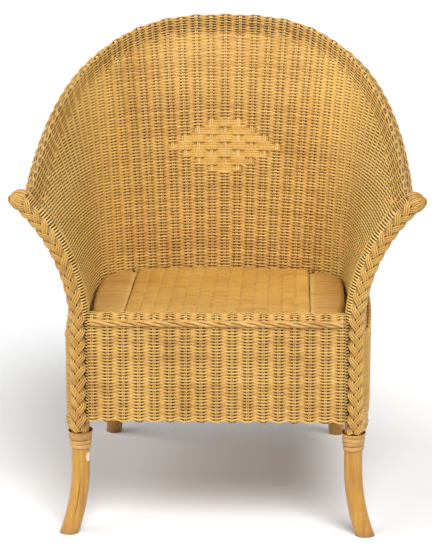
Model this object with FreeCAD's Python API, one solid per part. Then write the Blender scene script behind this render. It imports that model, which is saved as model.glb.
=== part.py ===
import FreeCAD, Part
import math
import os
from FreeCAD import Vector

os.makedirs("parts", exist_ok=True)

# Sizes are in millimetres. X runs to the right as seen from the front, Y to the back, Z up.
# While it is drawn, the front legs stand at Y = 0 and the floor is Z = 0.

# Poles of the frame
LEG_D = 32.0
REAR_LEG_D = 31.0
SEAT_RAIL_D = 28.0
SEAT_HOOP_D = 28.0
FRAME_HOOP_D = 20.0
BEARER_D = 22.0
SKIRT_RAIL_D = 20.0
TOP_HOOP_D = 22.0

# Reed, cane and the rooms left between pieces
WEAVE_T = 5.2
STAKE_W = 6.4
STAKE_T = 3.0
BORDER_T = 4.0
BRAID_T = 3.0
SEAT_T = 8.0
JOINT_GAP = 0.3
FRAME_CLEAR = 1.2
LEG_CLEAR = 2.0

# Front legs, which go on up as the flared arms
LEG_X = 237.0
FOOT_BEND_Z = 130.0
FOOT_BEND_R = 390.0
ARM_BEND_Z = 375.0
ARM_BEND_R = 304.6
ARM_SWEEP = math.radians(46.8)

# Foot line of the tub in plan: a back arc, two corner arcs and two side arcs, each tangent to the next
TUB_INSIDE_LEG = 8.0
WIDEST_Y = 240.0
TUB_BACK_Y = 479.0
SIDE_R = 2600.0
CORNER_R = 104.0
BACK_R = 404.0

# Rim of the tub: an oval in plan that rises from the arms to the back and flares out to the arm tips
RIM_HALF_WIDTH = 317.3
RIM_FLARE_DEPTH = 75.0
RIM_INSIDE_TIP = 1.3
RIM_BELOW_TIP = 1.6
RIM_DEPTH = 570.0
RIM_POWER = 2.76
RIM_BACK_Z = 827.6
RIM_RISE_POWER = 1.52

# Upright profile of the tub, bent at a knee between foot and rim
KNEE_OUT_BACK = 0.35
KNEE_UP_BACK = 0.50
KNEE_UP_ARM = 0.54
STAKES_PER_SIDE = 27
TUB_LEVELS = 5

# Seat
SEAT_RAIL_Z = 378.0
SEAT_TILT = 4.4
SEAT_NOSE = math.radians(36.0)
MAT_HALF_WIDTH = 160.0
MAT_COLUMNS = 13
MAT_CROWN = 2.0
SEAT_SLOT = 5.0
SEAT_SIDE_CLEAR = 5.0
BEARER_X = 80.0
SEAT_HOOP_DROP = 38.0

# Apron and skirt
SKIRT_BOTTOM_Z = 211.0
SKIRT_RAIL_RISE = 12.0
APRON_STAKES_PER_SIDE = 8
ROPE_D = 15.0
ROPE_RISE = 9.0
LEDGE_D = 8.0
SKIRT_LEAN_START = 0.92

# Rear legs, under the corners of the seat hoop
REAR_LEG_TURN = math.radians(37.0)
REAR_LEG_LEAN = math.radians(18.5)
REAR_FOOT_BEND_R = 700.0
REAR_FOOT_X = 221.0

# Top hoop, below the rim
TOP_HOOP_DROP = 16.0
BORDER_ANGLES = (100.0, 60.0, 20.0, -20.0)

# Braid on the front of the arm poles, turned a little outwards, and the cane bindings under it
BRAID_HALF_ANGLE = math.radians(50.0)
BRAID_TURN = math.radians(9.0)
KNOB_BACK_Y = 8.0
BINDING_FOOT_Z = 159.0
BINDING_TURNS = 3
TURN_H = 7.2
TURN_T = 2.4
TURN_EDGE = 0.8
COLLAR_H = 8.4
COLLAR_T = 5.0

# Diamond of flat strips in the middle of the back
DIAMOND_Z = 590.0
STRIP_W = 13.6
STRIP_GAP = 0.8
STRIP_T = 1.2
STRIP_REACH = 0.35
DIAMOND_COUNTS = (1, 2, 3, 4, 3, 2, 1)

# Places that follow from the sizes above
LEG_R = LEG_D / 2
FRONT_Y = LEG_R + JOINT_GAP
TUB_HALF_WIDTH = LEG_X - TUB_INSIDE_LEG
SEAT_HOOP_Z = SEAT_RAIL_Z - SEAT_HOOP_DROP
STRIP_PITCH = STRIP_W + STRIP_GAP
HALF_WEAVE = WEAVE_T / 2
STAKE_IN = HALF_WEAVE + JOINT_GAP
STAKE_OUT = STAKE_IN + STAKE_T
SEAT_HOOP_OFFSET = STAKE_OUT + JOINT_GAP + SEAT_HOOP_D / 2
FRAME_HOOP_OFFSET = -(HALF_WEAVE + FRAME_CLEAR + FRAME_HOOP_D / 2)
SKIRT_STAKE_IN = SEAT_HOOP_OFFSET + SEAT_HOOP_D / 2 + JOINT_GAP
SKIRT_STAKE_OUT = SKIRT_STAKE_IN + STAKE_T
SKIRT_IN = SKIRT_STAKE_OUT + JOINT_GAP
SKIRT_OUT = SKIRT_IN + WEAVE_T
TUB_FOOT_Z = SEAT_HOOP_Z - SEAT_HOOP_D / 2
TUB_BEND_Z = SEAT_HOOP_Z + SEAT_HOOP_D / 2 + JOINT_GAP
SKIRT_TOP_Z = TUB_BEND_Z
SKIRT_RAIL_Z = SKIRT_BOTTOM_Z + SKIRT_RAIL_RISE
BACK_CENTRE = Vector(0, TUB_BACK_Y - BACK_R, 0)
SIDE_CENTRE = Vector(TUB_HALF_WIDTH - SIDE_R, WIDEST_Y, 0)
UP = Vector(0, 0, 1)


def leg_point(turn, bend_z, bend_r, upwards):
    """Point on a bend of the front leg, in the plane Y = 0."""
    x = LEG_X + bend_r * (1 - math.cos(turn))
    return Vector(x, 0, bend_z + upwards * bend_r * math.sin(turn))


ARM_TIP = leg_point(ARM_SWEEP, ARM_BEND_Z, ARM_BEND_R, 1)
ARM_AHEAD = Vector(math.sin(ARM_SWEEP), 0, math.cos(ARM_SWEEP))
RIM_ARM_Z = ARM_TIP.z - RIM_BELOW_TIP
RIM_END_ANGLE = math.acos((FRONT_Y / RIM_DEPTH)**(RIM_POWER / 2))


def meeting_point(first, first_reach, second, second_reach):
    """The rear one of the two points at the given distances from two points in plan."""
    between = second - first
    span = between.Length
    along = (first_reach**2 - second_reach**2 + span**2) / (2 * span)
    aside = math.sqrt(first_reach**2 - along**2)
    ahead = between / span
    return first + ahead * along + Vector(-ahead.y, ahead.x, 0) * aside


CORNER_CENTRE = meeting_point(SIDE_CENTRE, SIDE_R - CORNER_R, BACK_CENTRE, BACK_R - CORNER_R)


def bearing(start, stop):
    """Turn of a direction in plan, from straight back towards +X."""
    return math.atan2(stop.x - start.x, stop.y - start.y)


BACK_TURN = bearing(BACK_CENTRE, CORNER_CENTRE)
CORNER_TURN = bearing(SIDE_CENTRE, CORNER_CENTRE)


def front_turn(offset, y):
    """Turn of the side arc, moved out by an offset, where it reaches a depth near the front."""
    return math.acos((y - WIDEST_Y) / (SIDE_R + offset))


FRONT_TURN = front_turn(0, FRONT_Y)
BACK_LENGTH = BACK_R * BACK_TURN
CORNER_LENGTH = CORNER_R * (CORNER_TURN - BACK_TURN)
FOOT_LENGTH = BACK_LENGTH + CORNER_LENGTH + SIDE_R * (FRONT_TURN - CORNER_TURN)


def plan_out(turn):
    """Outward direction of the foot line at a turn."""
    return Vector(math.sin(turn), math.cos(turn), 0)


def plan_point(turn, offset, z):
    """Point on the foot line, moved outwards by an offset."""
    size = abs(turn)
    if size < BACK_TURN:
        centre, radius = BACK_CENTRE, BACK_R
    elif size < CORNER_TURN:
        centre, radius = CORNER_CENTRE, CORNER_R
    else:
        centre, radius = SIDE_CENTRE, SIDE_R
    point = centre + plan_out(size) * (radius + offset)
    return Vector(math.copysign(point.x, turn), point.y, z)


def share_at(turn):
    """Share of the foot line's length at a turn, -1 at the left arm, 0 at the back, 1 at the right arm."""
    size = abs(turn)
    if size < BACK_TURN:
        length = BACK_R * size
    elif size < CORNER_TURN:
        length = BACK_LENGTH + CORNER_R * (size - BACK_TURN)
    else:
        length = BACK_LENGTH + CORNER_LENGTH + SIDE_R * (size - CORNER_TURN)
    return math.copysign(length / FOOT_LENGTH, turn)


def turn_at(share):
    """Turn at a share of the foot line's length."""
    length = abs(share) * FOOT_LENGTH
    if length < BACK_LENGTH:
        turn = length / BACK_R
    elif length < BACK_LENGTH + CORNER_LENGTH:
        turn = BACK_TURN + (length - BACK_LENGTH) / CORNER_R
    else:
        turn = CORNER_TURN + (length - BACK_LENGTH - CORNER_LENGTH) / SIDE_R
    return math.copysign(turn, share)


def rim_flare(y):
    """Share of the rim's flare at a depth: none behind the arms, growing towards their tips."""
    return max(1 - y / RIM_FLARE_DEPTH, 0)**2


def rim_oval(angle):
    """Half width of the rim without its flare, at an angle from straight back."""
    return RIM_HALF_WIDTH * math.sin(angle)**(2 / RIM_POWER)


RIM_FLARE = (ARM_TIP.x - RIM_INSIDE_TIP - rim_oval(RIM_END_ANGLE)) / rim_flare(FRONT_Y)


def rim_curve(angle):
    """Point of the rim at an angle from straight back, on the right-hand side."""
    y = RIM_DEPTH * math.cos(angle)**(2 / RIM_POWER)
    x = rim_oval(angle) + RIM_FLARE * rim_flare(y)
    rise = (y / RIM_DEPTH)**RIM_RISE_POWER
    return Vector(x, y, RIM_ARM_Z + (RIM_BACK_Z - RIM_ARM_Z) * rise)


RIM_SAMPLES = 400
RIM_POINTS = [rim_curve(RIM_END_ANGLE * i / RIM_SAMPLES) for i in range(RIM_SAMPLES + 1)]
RIM_LENGTHS = [0.0]
for before, after in zip(RIM_POINTS, RIM_POINTS[1:]):
    RIM_LENGTHS.append(RIM_LENGTHS[-1] + before.distanceToPoint(after))


def rim_point(share):
    """Point at a share of the rim's length, with the same ends as turn_at."""
    length = abs(share) * RIM_LENGTHS[-1]
    i = 1
    while i < RIM_SAMPLES and RIM_LENGTHS[i] < length:
        i += 1
    part = (length - RIM_LENGTHS[i - 1]) / (RIM_LENGTHS[i] - RIM_LENGTHS[i - 1])
    point = RIM_POINTS[i - 1] * (1 - part) + RIM_POINTS[i] * part
    return Vector(math.copysign(point.x, share), point.y, point.z)


def tub_point(share, t):
    """Point in the middle of the tub's weave, from the bend above the seat hoop, 0, to the rim, 1."""
    foot = plan_point(turn_at(share), 0, TUB_BEND_Z)
    head = rim_point(share)
    out = KNEE_OUT_BACK * (1 - abs(share))
    up = KNEE_UP_BACK + (KNEE_UP_ARM - KNEE_UP_BACK) * abs(share)
    rise = head - foot
    knee = foot + Vector(rise.x * out, rise.y * out, rise.z * up)
    return foot * (1 - t)**2 + knee * (2 * t * (1 - t)) + head * t**2


def squared(direction, share):
    """Unit direction, kept square to the depth at the tub's two front edges."""
    if abs(share) == 1:
        direction.y = 0
    return direction.normalize()


def tub_frame(share, t):
    """Point of the tub with its directions along the weave, up the stakes and out of the tub."""
    step = 0.001
    along = tub_point(min(share + step, 1), t) - tub_point(max(share - step, -1), t)
    up = tub_point(share, min(t + step, 1)) - tub_point(share, max(t - step, 0))
    out = squared(up.cross(along), share)
    return tub_point(share, t), along.normalize(), up.normalize(), out


def loft(wires):
    return Part.makeLoft(wires, True, True)


def ring(centre, ahead, radius):
    """Round section of a pole, with its seam always on the upper side."""
    side = ahead.cross(UP)
    side.normalize()
    turned = FreeCAD.Rotation(side, ahead.cross(side) * -1, ahead, "ZXY")
    circle = Part.makeCircle(radius)
    circle.Placement = FreeCAD.Placement(centre, turned)
    return Part.Wire([circle])


def bent_pole(points, diameter):
    """Pole through points, in short straight lengths."""
    wires = []
    for i, point in enumerate(points):
        ahead = points[min(i + 1, len(points) - 1)] - points[max(i - 1, 0)]
        ahead.normalize()
        wires.append(ring(point, ahead, diameter / 2))
    return loft(wires)


def arc_hoop(offset, z, front_y, diameter):
    """Level hoop of tangent arcs, a given distance outside the foot line."""
    end = front_turn(offset, front_y)
    turns = (-end, -CORNER_TURN, -BACK_TURN, BACK_TURN, CORNER_TURN, end)
    edges = []
    for start, stop in zip(turns, turns[1:]):
        points = [plan_point(turn, offset, z) for turn in (start, (start + stop) / 2, stop)]
        edges.append(Part.Arc(*points).toShape())
    path = Part.Wire(edges)
    ahead = plan_out(-end).cross(UP)
    section = Part.Wire([Part.makeCircle(diameter / 2, plan_point(-end, offset, z), ahead)])
    return path.makePipeShell([section], True, False)


def rect(centre, wide, wide_half, deep, deep_half):
    corners = []
    for across, inwards in ((-1, -1), (1, -1), (1, 1), (-1, 1), (-1, -1)):
        corners.append(centre + wide * (across * wide_half) + deep * (inwards * deep_half))
    return Part.makePolygon(corners)


def stake_shares():
    return [k / (STAKES_PER_SIDE + 0.5) for k in range(-STAKES_PER_SIDE, STAKES_PER_SIDE + 1)]


def sheet_shares():
    return [-1.0] + stake_shares() + [1.0]


def tub_levels(share):
    """Frames up one line of the tub: at its foot, at the bend, and on up to the rim."""
    turn = turn_at(share)
    out = squared(plan_out(turn), share)
    foot = plan_point(turn, 0, TUB_FOOT_Z)
    levels = [(foot, out.cross(UP), UP, out)]
    return levels + [tub_frame(share, i / TUB_LEVELS) for i in range(TUB_LEVELS + 1)]


def sheet_section(levels, inner, outer):
    face = [point + out * inner for point, along, up, out in levels]
    back = [point + out * outer for point, along, up, out in reversed(levels)]
    return Part.makePolygon(face + back + face[:1])


def half_row(share, t, reach, low, high):
    """Closed upright section through a strip's height, at one place along it."""
    point, along, up, out = tub_frame(share, t)
    middle = point + out * ((low + high) / 2)
    return rect(middle, up, reach, out, (high - low) / 2)


def diamond_t(row):
    """Place of a row of the diamond up the middle of the back."""
    middle = DIAMOND_Z + (row - len(DIAMOND_COUNTS) // 2) * STRIP_PITCH * tub_frame(0, 0.5)[2].z
    low, high = 0.0, 1.0
    while high - low > 1e-6:
        t = (low + high) / 2
        if tub_point(0, t).z < middle:
            low = t
        else:
            high = t
    return low


def diamond_window(row):
    """Room for one strip, cut right through the weave."""
    stakes = DIAMOND_COUNTS[row]
    places = [-stakes - STRIP_REACH] + list(range(-stakes, stakes + 1)) + [stakes + STRIP_REACH]
    wires = []
    for place in places:
        share = place / (STAKES_PER_SIDE + 0.5)
        wires.append(half_row(share, diamond_t(row), STRIP_PITCH / 2 + JOINT_GAP, -WEAVE_T, WEAVE_T))
    return loft(wires)


def diamond_strip(row):
    """Flat strip that passes in front of every second stake and behind the others."""
    stakes = DIAMOND_COUNTS[row]
    spacing = tub_point(0, diamond_t(row)).distanceToPoint(
        tub_point(1 / (STAKES_PER_SIDE + 0.5), diamond_t(row)))
    room = (STAKE_W / 2 + JOINT_GAP) / spacing
    tail = STRIP_REACH - JOINT_GAP / spacing
    front = STAKE_IN - JOINT_GAP - STRIP_T
    behind = STAKE_OUT + JOINT_GAP
    wires = []
    for stake in range(-stakes, stakes + 1):
        low = behind if (stake - stakes) % 2 == 0 else front
        before = tail if stake == -stakes else room
        after = tail if stake == stakes else room
        for place in (stake - before, stake + after):
            share = place / (STAKES_PER_SIDE + 0.5)
            wires.append(half_row(share, diamond_t(row), STRIP_W / 2, low, low + STRIP_T))
    return loft(wires)


def tub_weave():
    sheet = loft([sheet_section(tub_levels(share), -HALF_WEAVE, HALF_WEAVE) for share in sheet_shares()])
    for row in range(len(DIAMOND_COUNTS)):
        sheet = sheet.cut(diamond_window(row))
    return sheet


def tub_stake(share):
    middle = (STAKE_IN + STAKE_OUT) / 2
    wires = []
    for point, along, up, out in tub_levels(share):
        wires.append(rect(point + out * middle, along, STAKE_W / 2, out, STAKE_T / 2))
    return loft(wires)


TOP_HOOP_OFFSET = STAKE_OUT + JOINT_GAP + TOP_HOOP_D / 2


def rim_frame(share):
    """Point of the rim with its directions up and out, both square to the rim, and the hoop's centre."""
    point, along, up, out = tub_frame(share, 1)
    up = squared(along.cross(out), share)
    return point, up, out, point - up * TOP_HOOP_DROP + out * TOP_HOOP_OFFSET


def top_hoop():
    return bent_pole([rim_frame(share)[-1] for share in sheet_shares()], TOP_HOOP_D)


def border_section(share):
    """Section of the stakes turned over the rim and down behind the top hoop."""
    point, up, out, hoop = rim_frame(share)
    room = (TOP_HOOP_D / 2 + JOINT_GAP) / math.cos(math.radians(BORDER_ANGLES[0] - BORDER_ANGLES[1]) / 2)
    under = [point - out * HALF_WEAVE + up * JOINT_GAP, point + out * (STAKE_OUT + JOINT_GAP) + up * JOINT_GAP]
    over = [corner + up * BORDER_T for corner in under]
    for angle in BORDER_ANGLES:
        ray = out * math.cos(math.radians(angle)) + up * math.sin(math.radians(angle))
        under.append(hoop + ray * room)
        over.append(hoop + ray * (room + BORDER_T))
    return Part.makePolygon(over + under[::-1] + over[:1])


def rim_border():
    return loft([border_section(share) for share in sheet_shares()])


def arm_edges(start_z):
    """Straight pole from a height up, and the bend to the arm's tip."""
    bend = leg_point(0, ARM_BEND_Z, ARM_BEND_R, 1)
    points = [leg_point(ARM_SWEEP * part, ARM_BEND_Z, ARM_BEND_R, 1) for part in (0, 0.5, 1)]
    return [Part.makeLine(Vector(LEG_X, 0, start_z), bend), Part.Arc(*points).toShape()]


def below_floor():
    size = 4 * TUB_BACK_Y
    return Part.makeBox(size, size, size, Vector(-size / 2, -size / 2, -size))


def front_leg():
    """Pole from the splayed foot, through the apron, to the domed arm tip."""
    sunk = math.asin((FOOT_BEND_Z + LEG_R) / FOOT_BEND_R)
    points = [leg_point(sunk * part, FOOT_BEND_Z, FOOT_BEND_R, -1) for part in (1, 0.5, 0)]
    path = Part.Wire([Part.Arc(*points).toShape()] + arm_edges(FOOT_BEND_Z))
    ahead = Vector(-math.sin(sunk), 0, math.cos(sunk))
    section = Part.Wire([Part.makeCircle(LEG_R, points[0], ahead)])
    pole = path.makePipeShell([section], True, False)
    dome = Part.makeSphere(LEG_R, ARM_TIP, ARM_AHEAD, 0, 90, 360)
    return pole.fuse(dome).cut(below_floor()).removeSplitter()


def braid():
    """Braid round the front of the arm pole, and its end wrapped over the arm's tip."""
    inner = LEG_R + JOINT_GAP
    outer = inner + BRAID_T
    start_z = BINDING_FOOT_Z + BINDING_TURNS * TURN_H + COLLAR_H + JOINT_GAP
    centre = Vector(LEG_X, 0, start_z)

    def rim(radius, part):
        angle = BRAID_TURN + BRAID_HALF_ANGLE * part
        return centre + Vector(math.sin(angle), -math.cos(angle), 0) * radius

    section = Part.Wire([
        Part.Arc(rim(outer, -1), rim(outer, 0), rim(outer, 1)).toShape(),
        Part.makeLine(rim(outer, 1), rim(inner, 1)),
        Part.Arc(rim(inner, 1), rim(inner, 0), rim(inner, -1)).toShape(),
        Part.makeLine(rim(inner, -1), rim(outer, -1))])
    band = Part.Wire(arm_edges(start_z)).makePipeShell([section], True, False)
    knob = Part.makeSphere(outer, ARM_TIP, ARM_AHEAD, 0, 90, 360)
    knob = knob.cut(Part.makeSphere(inner, ARM_TIP))
    behind = Part.makeBox(4 * outer, 2 * outer, 4 * outer, ARM_TIP + Vector(-2 * outer, KNOB_BACK_Y, -2 * outer))
    return band.fuse(knob.cut(behind))


def leg_binding():
    """Flat cane wound round the leg, with a thicker collar on top."""
    inner = LEG_R + JOINT_GAP
    outline = [Vector(LEG_X + inner, 0, BINDING_FOOT_Z)]
    z = BINDING_FOOT_Z
    for height, depth in [(TURN_H, TURN_T)] * BINDING_TURNS + [(COLLAR_H, COLLAR_T)]:
        outer = LEG_X + inner + depth
        outline.append(Vector(outer - TURN_EDGE, 0, z))
        outline.append(Vector(outer, 0, z + TURN_EDGE))
        outline.append(Vector(outer, 0, z + height - TURN_EDGE))
        outline.append(Vector(outer - TURN_EDGE, 0, z + height))
        z += height
    outline.append(Vector(LEG_X + inner, 0, z))
    face = Part.Face(Part.makePolygon(outline + outline[:1]))
    return face.revolve(Vector(LEG_X, 0, 0), UP, 360)


def rear_leg_place(z):
    """Centre of the right rear leg's straight length at a height."""
    top = plan_point(REAR_LEG_TURN, SEAT_HOOP_OFFSET, SEAT_HOOP_Z)
    drop = (SEAT_HOOP_Z - z) * math.tan(REAR_LEG_LEAN)
    return Vector(top.x, top.y, z) + rear_leg_ahead() * drop


def rear_leg_reach():
    """How far the rear foot stands out from the leg's top."""
    straight = (SEAT_HOOP_Z - FOOT_BEND_Z) * math.tan(REAR_LEG_LEAN)
    end = math.asin(math.sin(REAR_LEG_LEAN) + FOOT_BEND_Z / REAR_FOOT_BEND_R)
    return straight + REAR_FOOT_BEND_R * (math.cos(REAR_LEG_LEAN) - math.cos(end))


def rear_leg_ahead():
    """Level direction in which the right rear leg splays."""
    top = plan_point(REAR_LEG_TURN, SEAT_HOOP_OFFSET, SEAT_HOOP_Z)
    aside = (REAR_FOOT_X - top.x) / rear_leg_reach()
    return Vector(aside, math.sqrt(1 - aside**2), 0)


def rear_leg():
    """Splayed pole, coped to the underside of the seat hoop."""
    ahead = rear_leg_ahead()
    top = rear_leg_place(SEAT_HOOP_Z)
    bend = rear_leg_place(FOOT_BEND_Z)
    sunk = math.asin(math.sin(REAR_LEG_LEAN) + (FOOT_BEND_Z + REAR_LEG_D / 2) / REAR_FOOT_BEND_R)

    def foot(part):
        turn = REAR_LEG_LEAN + (sunk - REAR_LEG_LEAN) * part
        out = REAR_FOOT_BEND_R * (math.cos(REAR_LEG_LEAN) - math.cos(turn))
        drop = REAR_FOOT_BEND_R * (math.sin(turn) - math.sin(REAR_LEG_LEAN))
        return bend + ahead * out - UP * drop

    path = Part.Wire([Part.makeLine(top, bend), Part.Arc(foot(0), foot(0.5), foot(1)).toShape()])
    section = Part.Wire([Part.makeCircle(REAR_LEG_D / 2, top, bend - top)])
    pole = path.makePipeShell([section], True, False)
    saddle = arc_hoop(SEAT_HOOP_OFFSET, SEAT_HOOP_Z, FRONT_Y, SEAT_HOOP_D + 2 * JOINT_GAP)
    pieces = pole.cut(below_floor()).cut(saddle).Solids
    return max(pieces, key=lambda piece: piece.Volume)


def cross_pole(half_length, y, z, diameter):
    return Part.makeCylinder(diameter / 2, 2 * half_length, Vector(-half_length, y, z), Vector(1, 0, 0))


def skirt_spread():
    """How far back the lower edge of the skirt leans, to pass round the rear legs."""
    leg = rear_leg_place(SKIRT_BOTTOM_Z) - CORNER_CENTRE
    room = CORNER_R + SKIRT_STAKE_IN - REAR_LEG_D / 2 / math.cos(REAR_LEG_LEAN) - LEG_CLEAR
    return leg.y - math.sqrt(room**2 - leg.x**2)


SKIRT_SPREAD = skirt_spread()


def skirt_lean(share, z):
    """Move of the skirt to the back: none beside the front legs, full from the corners round the back."""
    full = share_at(CORNER_TURN)
    part = min(max((SKIRT_LEAN_START - abs(share)) / (SKIRT_LEAN_START - full), 0), 1)
    eased = part * part * (3 - 2 * part)
    return Vector(0, SKIRT_SPREAD * eased * (SKIRT_TOP_Z - z) / (SKIRT_TOP_Z - SKIRT_BOTTOM_Z), 0)


def skirt_point(share, offset, z):
    return plan_point(turn_at(share), offset, z) + skirt_lean(share, z)


def skirt_weave():
    wires = []
    for share in sheet_shares():
        corners = [skirt_point(share, SKIRT_IN, SKIRT_BOTTOM_Z), skirt_point(share, SKIRT_OUT, SKIRT_BOTTOM_Z),
                   skirt_point(share, SKIRT_OUT, SKIRT_TOP_Z), skirt_point(share, SKIRT_IN, SKIRT_TOP_Z)]
        wires.append(Part.makePolygon(corners + corners[:1]))
    return loft(wires)


def skirt_stake(share):
    out = plan_out(turn_at(share))
    wires = []
    for z in (SKIRT_BOTTOM_Z, SKIRT_TOP_Z):
        middle = skirt_point(share, (SKIRT_STAKE_IN + SKIRT_STAKE_OUT) / 2, z)
        wires.append(rect(middle, out.cross(UP), STAKE_W / 2, out, STAKE_T / 2))
    return loft(wires)


def ledge_border():
    middle = (SKIRT_STAKE_IN + SKIRT_OUT) / 2
    z = SKIRT_TOP_Z + JOINT_GAP + LEDGE_D / 2
    return arc_hoop(middle, z, FRONT_Y, LEDGE_D)


def skirt_rail(first, last):
    """Rail along the foot of the skirt, from one share of the foot line to another."""
    offset = SKIRT_STAKE_IN - JOINT_GAP - SKIRT_RAIL_D / 2
    steps = round((last - first) * STAKES_PER_SIDE)
    shares = [first + (last - first) * i / steps for i in range(steps + 1)]
    return bent_pole([skirt_point(share, offset, SKIRT_RAIL_Z) for share in shares], SKIRT_RAIL_D)


def skirt_rails():
    """Side rails from the front legs to the rear legs, and the back rail between the rear legs."""
    centre = CORNER_CENTRE + skirt_lean(share_at(CORNER_TURN), SKIRT_RAIL_Z) + UP * SKIRT_RAIL_Z
    leg = rear_leg_place(SKIRT_RAIL_Z)
    around = bearing(centre, leg)
    radius = leg.distanceToPoint(centre)
    clear = (REAR_LEG_D / 2 / math.cos(REAR_LEG_LEAN) + LEG_CLEAR) / radius
    before = share_at(around - clear)
    after = share_at(around + clear)
    return {"skirt_rail_left": skirt_rail(-1, -after),
            "skirt_rail_back": skirt_rail(-before, before),
            "skirt_rail_right": skirt_rail(after, 1)}


APRON_STAKE_Y = -(SEAT_RAIL_D / 2 + JOINT_GAP + STAKE_T)
APRON_WEAVE_Y = APRON_STAKE_Y - JOINT_GAP - WEAVE_T
APRON_HALF = LEG_X - LEG_R - JOINT_GAP - BRAID_T - JOINT_GAP
ROPE_Z = SEAT_RAIL_Z + ROPE_RISE
APRON_TOP_Z = ROPE_Z - ROPE_D / 2 - JOINT_GAP


def apron_weave():
    start = Vector(-APRON_HALF, APRON_WEAVE_Y, SKIRT_BOTTOM_Z)
    return Part.makeBox(2 * APRON_HALF, WEAVE_T, APRON_TOP_Z - SKIRT_BOTTOM_Z, start)


def apron_stakes():
    pitch = (APRON_HALF - STAKE_W / 2 - JOINT_GAP) / APRON_STAKES_PER_SIDE
    stakes = []
    for k in range(-APRON_STAKES_PER_SIDE, APRON_STAKES_PER_SIDE + 1):
        start = Vector(k * pitch - STAKE_W / 2, APRON_STAKE_Y, SKIRT_BOTTOM_Z)
        stakes.append(Part.makeBox(STAKE_W, STAKE_T, APRON_TOP_Z - SKIRT_BOTTOM_Z, start))
    return stakes


def rope_border():
    y = -(SEAT_RAIL_D / 2 + JOINT_GAP + ROPE_D / 2)
    return cross_pole(APRON_HALF, y, ROPE_Z, ROPE_D)


def tilt(shape):
    """Lean a seat piece back, about the front rail."""
    shape.rotate(Vector(0, 0, SEAT_RAIL_Z), Vector(1, 0, 0), -SEAT_TILT)
    return shape


SEAT_UNDER = SEAT_RAIL_D / 2 + JOINT_GAP


def seat_slab(left, right):
    """Slab from the rounded nose over the front rail to the back, between two places across the seat."""
    inner = SEAT_UNDER
    outer = inner + SEAT_T

    def nose(radius, part):
        angle = SEAT_NOSE * part
        return Vector(left, -radius * math.sin(angle), SEAT_RAIL_Z + radius * math.cos(angle))

    rear_low = Vector(left, TUB_BACK_Y, SEAT_RAIL_Z + inner)
    rear_high = Vector(left, TUB_BACK_Y, SEAT_RAIL_Z + outer)
    outline = Part.Wire([
        Part.makeLine(rear_high, nose(outer, 0)),
        Part.Arc(nose(outer, 0), nose(outer, 0.5), nose(outer, 1)).toShape(),
        Part.makeLine(nose(outer, 1), nose(inner, 1)),
        Part.Arc(nose(inner, 1), nose(inner, 0.5), nose(inner, 0)).toShape(),
        Part.makeLine(nose(inner, 0), rear_low),
        Part.makeLine(rear_low, rear_high)])
    return Part.Face(outline).extrude(Vector(right - left, 0, 0))


def seat_room():
    """Upright room inside the tub, a little clear of its weave, open to the front."""
    offset = -(HALF_WEAVE + SEAT_SIDE_CLEAR)
    front = -SEAT_RAIL_D
    end = front_turn(offset, FRONT_Y)
    turns = (-end, -CORNER_TURN, -BACK_TURN, BACK_TURN, CORNER_TURN, end)
    edges = []
    for start, stop in zip(turns, turns[1:]):
        points = [plan_point(turn, offset, 0) for turn in (start, (start + stop) / 2, stop)]
        edges.append(Part.Arc(*points).toShape())
    right = plan_point(end, offset, 0)
    left = plan_point(-end, offset, 0)
    corners = [right, Vector(right.x, front, 0), Vector(left.x, front, 0), left]
    for start, stop in zip(corners, corners[1:]):
        edges.append(Part.makeLine(start, stop))
    return Part.Face(Part.Wire(edges)).extrude(UP * 2 * SEAT_RAIL_Z)


def mat_columns():
    """Room under the crowned tops of the mat's columns, which meet in seams that run to the back."""
    width = 2 * MAT_HALF_WIDTH / MAT_COLUMNS
    top = SEAT_RAIL_Z + SEAT_UNDER + SEAT_T
    front = -SEAT_RAIL_D
    edges = []
    for k in range(MAT_COLUMNS):
        left = -MAT_HALF_WIDTH + k * width
        seam = Vector(left, front, top - MAT_CROWN)
        crown = Vector(left + width / 2, front, top)
        edges.append(Part.Arc(seam, crown, seam + Vector(width, 0, 0)).toShape())
    corners = [Vector(MAT_HALF_WIDTH, front, top - MAT_CROWN), Vector(MAT_HALF_WIDTH, front, 0),
               Vector(-MAT_HALF_WIDTH, front, 0), Vector(-MAT_HALF_WIDTH, front, top - MAT_CROWN)]
    for start, stop in zip(corners, corners[1:]):
        edges.append(Part.makeLine(start, stop))
    return Part.Face(Part.Wire(edges)).extrude(Vector(0, 2 * TUB_BACK_Y, 0))


def seat_mat():
    slab = seat_slab(-MAT_HALF_WIDTH, MAT_HALF_WIDTH)
    return tilt(slab.common(seat_room()).common(mat_columns()))


def seat_side():
    start = MAT_HALF_WIDTH + SEAT_SLOT
    return tilt(seat_slab(start, TUB_HALF_WIDTH).common(seat_room()))


def seat_frame_hoop():
    z = SEAT_RAIL_Z + SEAT_UNDER - JOINT_GAP - FRAME_HOOP_D / 2
    return tilt(arc_hoop(FRAME_HOOP_OFFSET, z, SEAT_RAIL_D / 2 + JOINT_GAP, FRAME_HOOP_D))


def seat_bearer():
    """Pole under the mat, from the front rail to the back of the seat frame hoop."""
    start = SEAT_RAIL_D / 2 + JOINT_GAP
    reach = BACK_R + FRAME_HOOP_OFFSET - FRAME_HOOP_D / 2 - JOINT_GAP
    stop = BACK_CENTRE.y + math.sqrt(reach**2 - (BEARER_X + BEARER_D / 2)**2)
    z = SEAT_RAIL_Z + SEAT_UNDER - JOINT_GAP - BEARER_D / 2
    return tilt(Part.makeCylinder(BEARER_D / 2, stop - start, Vector(BEARER_X, start, z), Vector(0, 1, 0)))


def mirrored(shape):
    return shape.mirror(Vector(0, 0, 0), Vector(1, 0, 0))


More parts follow.
